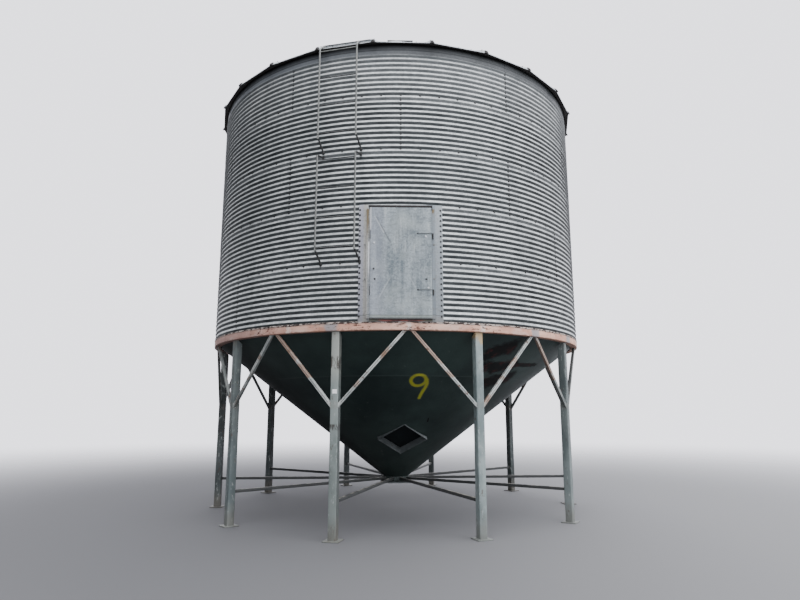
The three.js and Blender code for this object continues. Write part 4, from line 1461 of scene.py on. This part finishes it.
def on_hinge(low, high):
    """A stretch of the hinge's axis, between two heights."""
    return [Vector((HINGE_X, -HINGE_OUT, low)), Vector((HINGE_X, -HINGE_OUT, high))]


rods = [[Vector((x, -DOOR_FRONT - y, z + ROD_TALL / 2)) for x, y in ROD_PATH] for z in HINGE_ZS]
pins = [on_hinge(z + GAP, z + ROD_TALL) for z in HINGE_ZS]
barrels = [on_hinge(z - BARREL_TALL, z - GAP) for z in HINGE_ZS]
door_rods = tubed("door_rods", rods, Radius=0.0048, Bend=0.006, Sides=8)
hand_over(door_rods, DULL_STEEL, body="door")
hand_over(tubed("door_pins", pins, Radius=HINGE_R, Sides=16), DARK_IRON, body="door")
hand_over(tubed("frame_barrels", barrels, Radius=HINGE_R + 0.0004, Sides=16), DARK_IRON)


def facing_front(out, *spots):
    """Bolt places at (x, z) on a flat sheet, facing the front."""
    return [(Vector((x, -out, z)), (0.0, -1.0, 0.0)) for x, z in spots]


dark_rivets = facing_front(DOOR_FRONT, (-0.333, 3.200), (-0.318, 3.070), (0.311, 3.069))
bolted("door_bolts", dark_rivets, slot="door_steel", body="door", Washer=0.012)
pale_rivets = facing_front(DOOR_FRONT, (-0.330, 3.527), (0.308, 3.612), (0.335, 2.963))
bolted("door_rivets", pale_rivets, ROOF_ZINC, "door_steel", "door", Washer=0.013)
rod_ends = facing_front(DOOR_FRONT + 0.001, *[(0.209, z + ROD_TALL / 2) for z in HINGE_ZS])
bolted("rod_ends", rod_ends, slot="door_steel", body="door", Washer=0.010, Head=0.008)
LATCH_FEET = (2.867, 3.577)
LATCH_TALL = 0.115
latches = [boxed("latch", (-0.3845, DOOR_FRONT - 0.002, z), (-0.376, DOOR_FRONT + 0.004, z + LATCH_TALL))
           for z in LATCH_FEET]
latches = [bevelled(latch, 0.001) for latch in latches]
hand_over(merged("door_latches", latches), DARK_IRON, body="door")

# %% Door frame
hand_over(softened("door_casing", "door_frame", 0.0015), FRAME_ZINC, ["door_frame"])
CASING_BOLT_AZ = (-10.0, 9.85)
CASING_BOLT_OUT = 2.9312
casing_bolts = []
for wave in range(1, DOOR_TIERS * WAVES):
    for azimuth in CASING_BOLT_AZ:
        spot = place(azimuth, CASING_BOLT_OUT, WALL_FOOT + wave * PITCH)
        casing_bolts.append((spot, outward(azimuth)))
bolted("casing_bolts", casing_bolts, slot="door_steel", Washer=0.013)
frame_bolts = facing_front(FRAME_FACE + 0.0005,
                           (-0.44, 3.508), (-0.44, 3.075), (0.412, 3.080), (0.412, 3.512))
bolted("frame_bolts", frame_bolts, LADDER_ZINC, "door_steel", Washer=0.014)
# Black strips as painted shadow in the gaps above and below the door and at its upper corners.
gap_shadows = [((-0.404, DOOR_TOP + 0.006), (0.396, DOOR_TOP + 0.036)),
         ((-0.392, DOOR_TOP - 0.016), (-0.3835, DOOR_TOP + 0.008)),
         ((0.384, DOOR_TOP - 0.030), (0.396, DOOR_TOP + 0.012)),
         ((-0.384, DOOR_FOOT - 0.018), (0.384, DOOR_FOOT - 0.004))]
strips = [boxed("strip", (left, FRAME_FACE - 0.0005, low), (right, FRAME_FACE + 0.0015, high))
          for (left, low), (right, high) in gap_shadows]
hand_over(merged("door_gap_shadows", strips), BLACK_SEAL_AND_SHADE)
sill = boxed("sill_strip", (-0.384, FRAME_FACE - 0.0005, WALL_FOOT + 0.004),
             (0.384, FRAME_FACE + 0.001, DOOR_FOOT - 0.018))
hand_over(sill, SILL_RED)

# %% [markdown]
# ## Roof
#
# The roof is a cone of 24 flat panels, with a folded rib over each joint. One rib is modelled and a
# small tree repeats it round the axis. A black foam closure fills the gap between the round wall and
# the many-sided sheet, and black plugs close the ribs' ends. Together they make the dark eave: their
# black is partly the foam's own and partly painted shade.

# %% Roof sheet
ROOF_SHEET = 0.0025
ROOF_HOLE = 0.340
LIP = 0.010
roof_profile = [
    (ROOF_HOLE, -ROOF_SHEET), (ROOF_EDGE - ROOF_SHEET, -ROOF_SHEET), (ROOF_EDGE - ROOF_SHEET, -LIP),
    (ROOF_EDGE, -LIP), (ROOF_EDGE, 0.0), (ROOF_HOLE, 0.0)]
roof_points = [(r / PANEL_COS, roof_top(r) + rise) for r, rise in roof_profile]
roof = turned("roof_sheet", roof_points, RIBS, RIB_AZ)
hand_over(roof, ROOF_ZINC, ["roof"], sharp=3.0)


def closure_section(azimuth):
    """The foam between the wall's top and the underside of the sheet."""
    near = off_middle(azimuth)
    inner = WALL_OUT - 0.020
    edge = (ROOF_EDGE - 0.003) / near
    return [(inner, EAVE + 0.001), (WALL_OUT + 0.001, EAVE + 0.001), (WALL_OUT + 0.001, EAVE - 0.014),
            (edge, roof_top(ROOF_EDGE) - 0.014), (edge, roof_top(ROOF_EDGE) - ROOF_SHEET),
            (inner, roof_top(inner * near) - ROOF_SHEET)]


# The closure is black foam, and its black also stands as painted shade under the eave.
hand_over(turned("eave_closure", closure_section, 240, RIB_AZ), BLACK_SEAL_AND_SHADE)

# %% Ribs
RIB_START = 0.400
RIB_PLUG = 2.975
RIB_END = 3.018
RIB_TALL = 0.036
RIB_SHOULDER = RIB_TALL - 0.004
RIB_SECTION = ((-0.032, 0.0), (-0.014, RIB_SHOULDER), (-0.010, RIB_TALL), (0.010, RIB_TALL),
               (0.014, RIB_SHOULDER), (0.032, 0.0))

around = Grower("round the axis", {"Count": RIBS, "First": RIB_AZ})
line = around.add("GeometryNodeMeshLine", {}, {
    "Count": around.given("Count"), "Offset": (0.0, 0.0, 0.0)})
index = around.add("GeometryNodeInputIndex")
turn_by = (around.given("First") + index * 360.0 / around.given("Count")) * (math.pi / 180)
copies = around.add("GeometryNodeInstanceOnPoints", {}, {
    "Points": line, "Instance": around.given("Geometry"),
    "Rotation": around.add("FunctionNodeEulerToRotation", {}, {0: around.joined(0.0, 0.0, turn_by)})})
around.end(copies, ROOF_ZINC)


def rib_mesh(name, stations):
    """A rib through stations given as (distance out, scale of the section, drop)."""
    work = bmesh.new()
    loops = [[work.verts.new(place(0.0, out, roof_top(out * PANEL_COS) + up * size - drop, across * size))
              for across, up in RIB_SECTION] for out, size, drop in stations]
    for here, there in zip(loops, loops[1:]):
        for i in range(len(here)):
            j = (i + 1) % len(here)
            work.faces.new((here[i], there[i], there[j], here[j]))
    work.faces.new(loops[0])
    work.faces.new(loops[-1])
    bmesh.ops.recalc_face_normals(work, faces=work.faces)
    return mesh_of(name, work)


rib = rib_mesh("rib", ((RIB_START, 1.0, 0.0), (RIB_PLUG, 1.0, 0.0)))
hand_over(around.grow("roof_ribs", rib, Count=RIBS, First=RIB_AZ), ROOF_ZINC)
# Black plugs: foam, and painted shade at the rib ends under the eave.
plug = rib_mesh("plug", ((RIB_PLUG - 0.010, 0.98, 0.002), (3.000, 1.0, 0.008), (RIB_END, 0.5, 0.008)))
hand_over(around.grow("rib_plugs", plug, Count=RIBS, First=RIB_AZ), BLACK_SEAL_AND_SHADE)

# %% Roof bolts
RIB_BOLTS = 8
RIB_BOLT_FIRST = 0.50
RIB_BOLT_PITCH = 0.34
EAVE_BOLT_OUT = 2.925
EAVE_BOLT_SHIFTS = (-0.18, 0.0, 0.18)
roof_up = Vector((0.0, -math.sin(ROOF_SLOPE), math.cos(ROOF_SLOPE)))
roof_bolts = []
for k in range(RIBS):
    azimuth = RIB_AZ + k * 360 / RIBS
    up = Matrix.Rotation(math.radians(azimuth), 3, "Z") @ roof_up
    for step in range(RIB_BOLTS):
        out = RIB_BOLT_FIRST + step * RIB_BOLT_PITCH
        roof_bolts.append((place(azimuth, out, roof_top(out * PANEL_COS) + RIB_TALL), up))
    beside = azimuth + 180 / RIBS
    side_up = Matrix.Rotation(math.radians(beside), 3, "Z") @ roof_up
    for shift in EAVE_BOLT_SHIFTS:
        roof_bolts.append((place(beside, EAVE_BOLT_OUT, roof_top(EAVE_BOLT_OUT), shift), side_up))
bolted("roof_bolts", roof_bolts, slot="roof_galvanised")

# %% Filler neck, lid and roof hatch
NECK_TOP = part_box("filler_neck")[1].z
NECK_THICK = 0.008
NECK_FLANGE = 0.030
neck_out = ROOF_HOLE - GAP
neck_in = neck_out - NECK_THICK
rim_out = neck_out + NECK_FLANGE
seat = roof_top(ROOF_HOLE) + GAP
neck = turned("filler_ring", [
    (neck_in, seat - 0.020), (neck_out, seat - 0.020), (neck_out, seat), (rim_out, seat),
    (rim_out, seat + NECK_THICK), (neck_out, seat + NECK_THICK), (neck_out, NECK_TOP),
    (neck_in, NECK_TOP)], 96)
hand_over(bevelled(neck, 0.0015), ROOF_ZINC, ["filler_neck"])
LID_R = 0.400
base = NECK_TOP + GAP
lid_profile = [(0.0, base), (LID_R - 0.010, base), (LID_R - 0.010, base - 0.040), (LID_R, base - 0.040),
               (LID_R, base + 0.015), (LID_R - 0.006, base + 0.020)]
lid_profile += [(0.262, base + 0.076), (0.262, base + 0.102), (0.256, base + 0.107), (0.0, base + 0.1095)]
lid = turned("filler_cap", lid_profile, 96)
hand_over(lid, ROOF_ZINC, ["filler_lid"])
# A handle in black: painted shade, for the dark line under the lid's rim.
grip = [Vector((x, -0.272, base + 0.096)) for x in (-0.17, 0.29)]
shaded_handle = tubed("filler_shaded_handle", [grip], Radius=0.013, Sides=8)
hand_over(shaded_handle, BLACK_SEAL_AND_SHADE)
hand_over(softened("roof_hatch_box", "roof_hatch", 0.003), ROOF_ZINC, ["roof_hatch"])
HATCHWAY_OUT = 2.870
HATCHWAY_LID = (0.038, 0.050)
# A black strip as painted shadow under the lower edge of the hatch lid.
low, high = [roof_top(HATCHWAY_OUT) + rise for rise in HATCHWAY_LID]
wide = HATCHWAY_OUT * math.tan(math.pi / RIBS) - 0.060
hatch_lid_shadow = boxed("roof_hatch_lid_shadow", (-wide, HATCHWAY_OUT - 0.002, low),
             (wide, HATCHWAY_OUT + 0.002, high - 0.002), RIB_AZ - 1.5 * 360 / RIBS)
hand_over(hatch_lid_shadow, BLACK_SEAL_AND_SHADE)

# %% [markdown]
# ## Studio
#
# A pale floor fades out into an even pale world, so no horizon is drawn behind the bin. The light is
# that of a dull day: the world does most of it, a large lamp overhead adds the fall from top to bottom,
# and a soft one from the right, against a left that gives less light, rounds the drum. As a backdrop
# the world is the same pale tone all round, so every view has a plain background.

# %% Floor
FLOOR_R = 26.0


def studio_floor():
    finish = Finish("studio_floor")
    # The floor is darker to the west: painted shade, which also throws less light onto the bin's left.
    finish.base(finish.smooth(finish.x, -3.0, 5.0), (88, 89, 91), (124, 125, 126))
    return finish.done(0.9, alpha=finish.smooth(finish.out(), FLOOR_R - 2.0, 5.0))


work = bmesh.new()
bmesh.ops.create_circle(work, cap_ends=True, radius=FLOOR_R, segments=96)
bmesh.ops.translate(work, verts=work.verts, vec=(0.0, 0.0, -0.0005))
floor = new_object("studio_floor", mesh_of("studio_floor", work))
floor.data.materials.append(studio_floor())


# %% Lights and world
BIN_MIDDLE = Vector((0.0, 0.0, 4.0))
SHADED_SKY = 0.10
OPEN_SKY = 2.45


def soft_light(name, at, size, power):
    """A round lamp that is aimed at the middle of the bin."""
    lamp = bpy.data.lights.new(name, "AREA")
    lamp.shape = "DISK"
    lamp.size = size
    lamp.energy = power
    holder = bpy.data.objects.new(name, lamp)
    holder.location = at
    holder.rotation_euler = (BIN_MIDDLE - Vector(at)).to_track_quat("-Z", "Y").to_euler()
    scene.collection.objects.link(holder)


soft_light("top_light", (0.0, -6.0, 20.0), size=16.0, power=2400.0)
soft_light("key_light", (14.0, -12.0, 10.0), size=9.0, power=700.0)
world = bpy.data.worlds.new("studio")
world.use_nodes = True
scene.world = world
sky = Graph(world.node_tree)
sky.tree.nodes.clear()
east, north, up = sky.split(sky.add("ShaderNodeTexCoord", output="Generated"))
open_side = sky.math("MAXIMUM", sky.smooth(north, 0.35, 0.65), sky.smooth(east, -0.80, -0.10))
backdrop = sky.add("ShaderNodeLightPath", output="Is Camera Ray")
open_side = sky.math("MAXIMUM", open_side, backdrop)
shell = sky.add("ShaderNodeBackground", {}, {
    "Color": tint(242, 242, 250), "Strength": SHADED_SKY + open_side * OPEN_SKY})
sky.add("ShaderNodeOutputWorld", {}, {"Surface": shell})
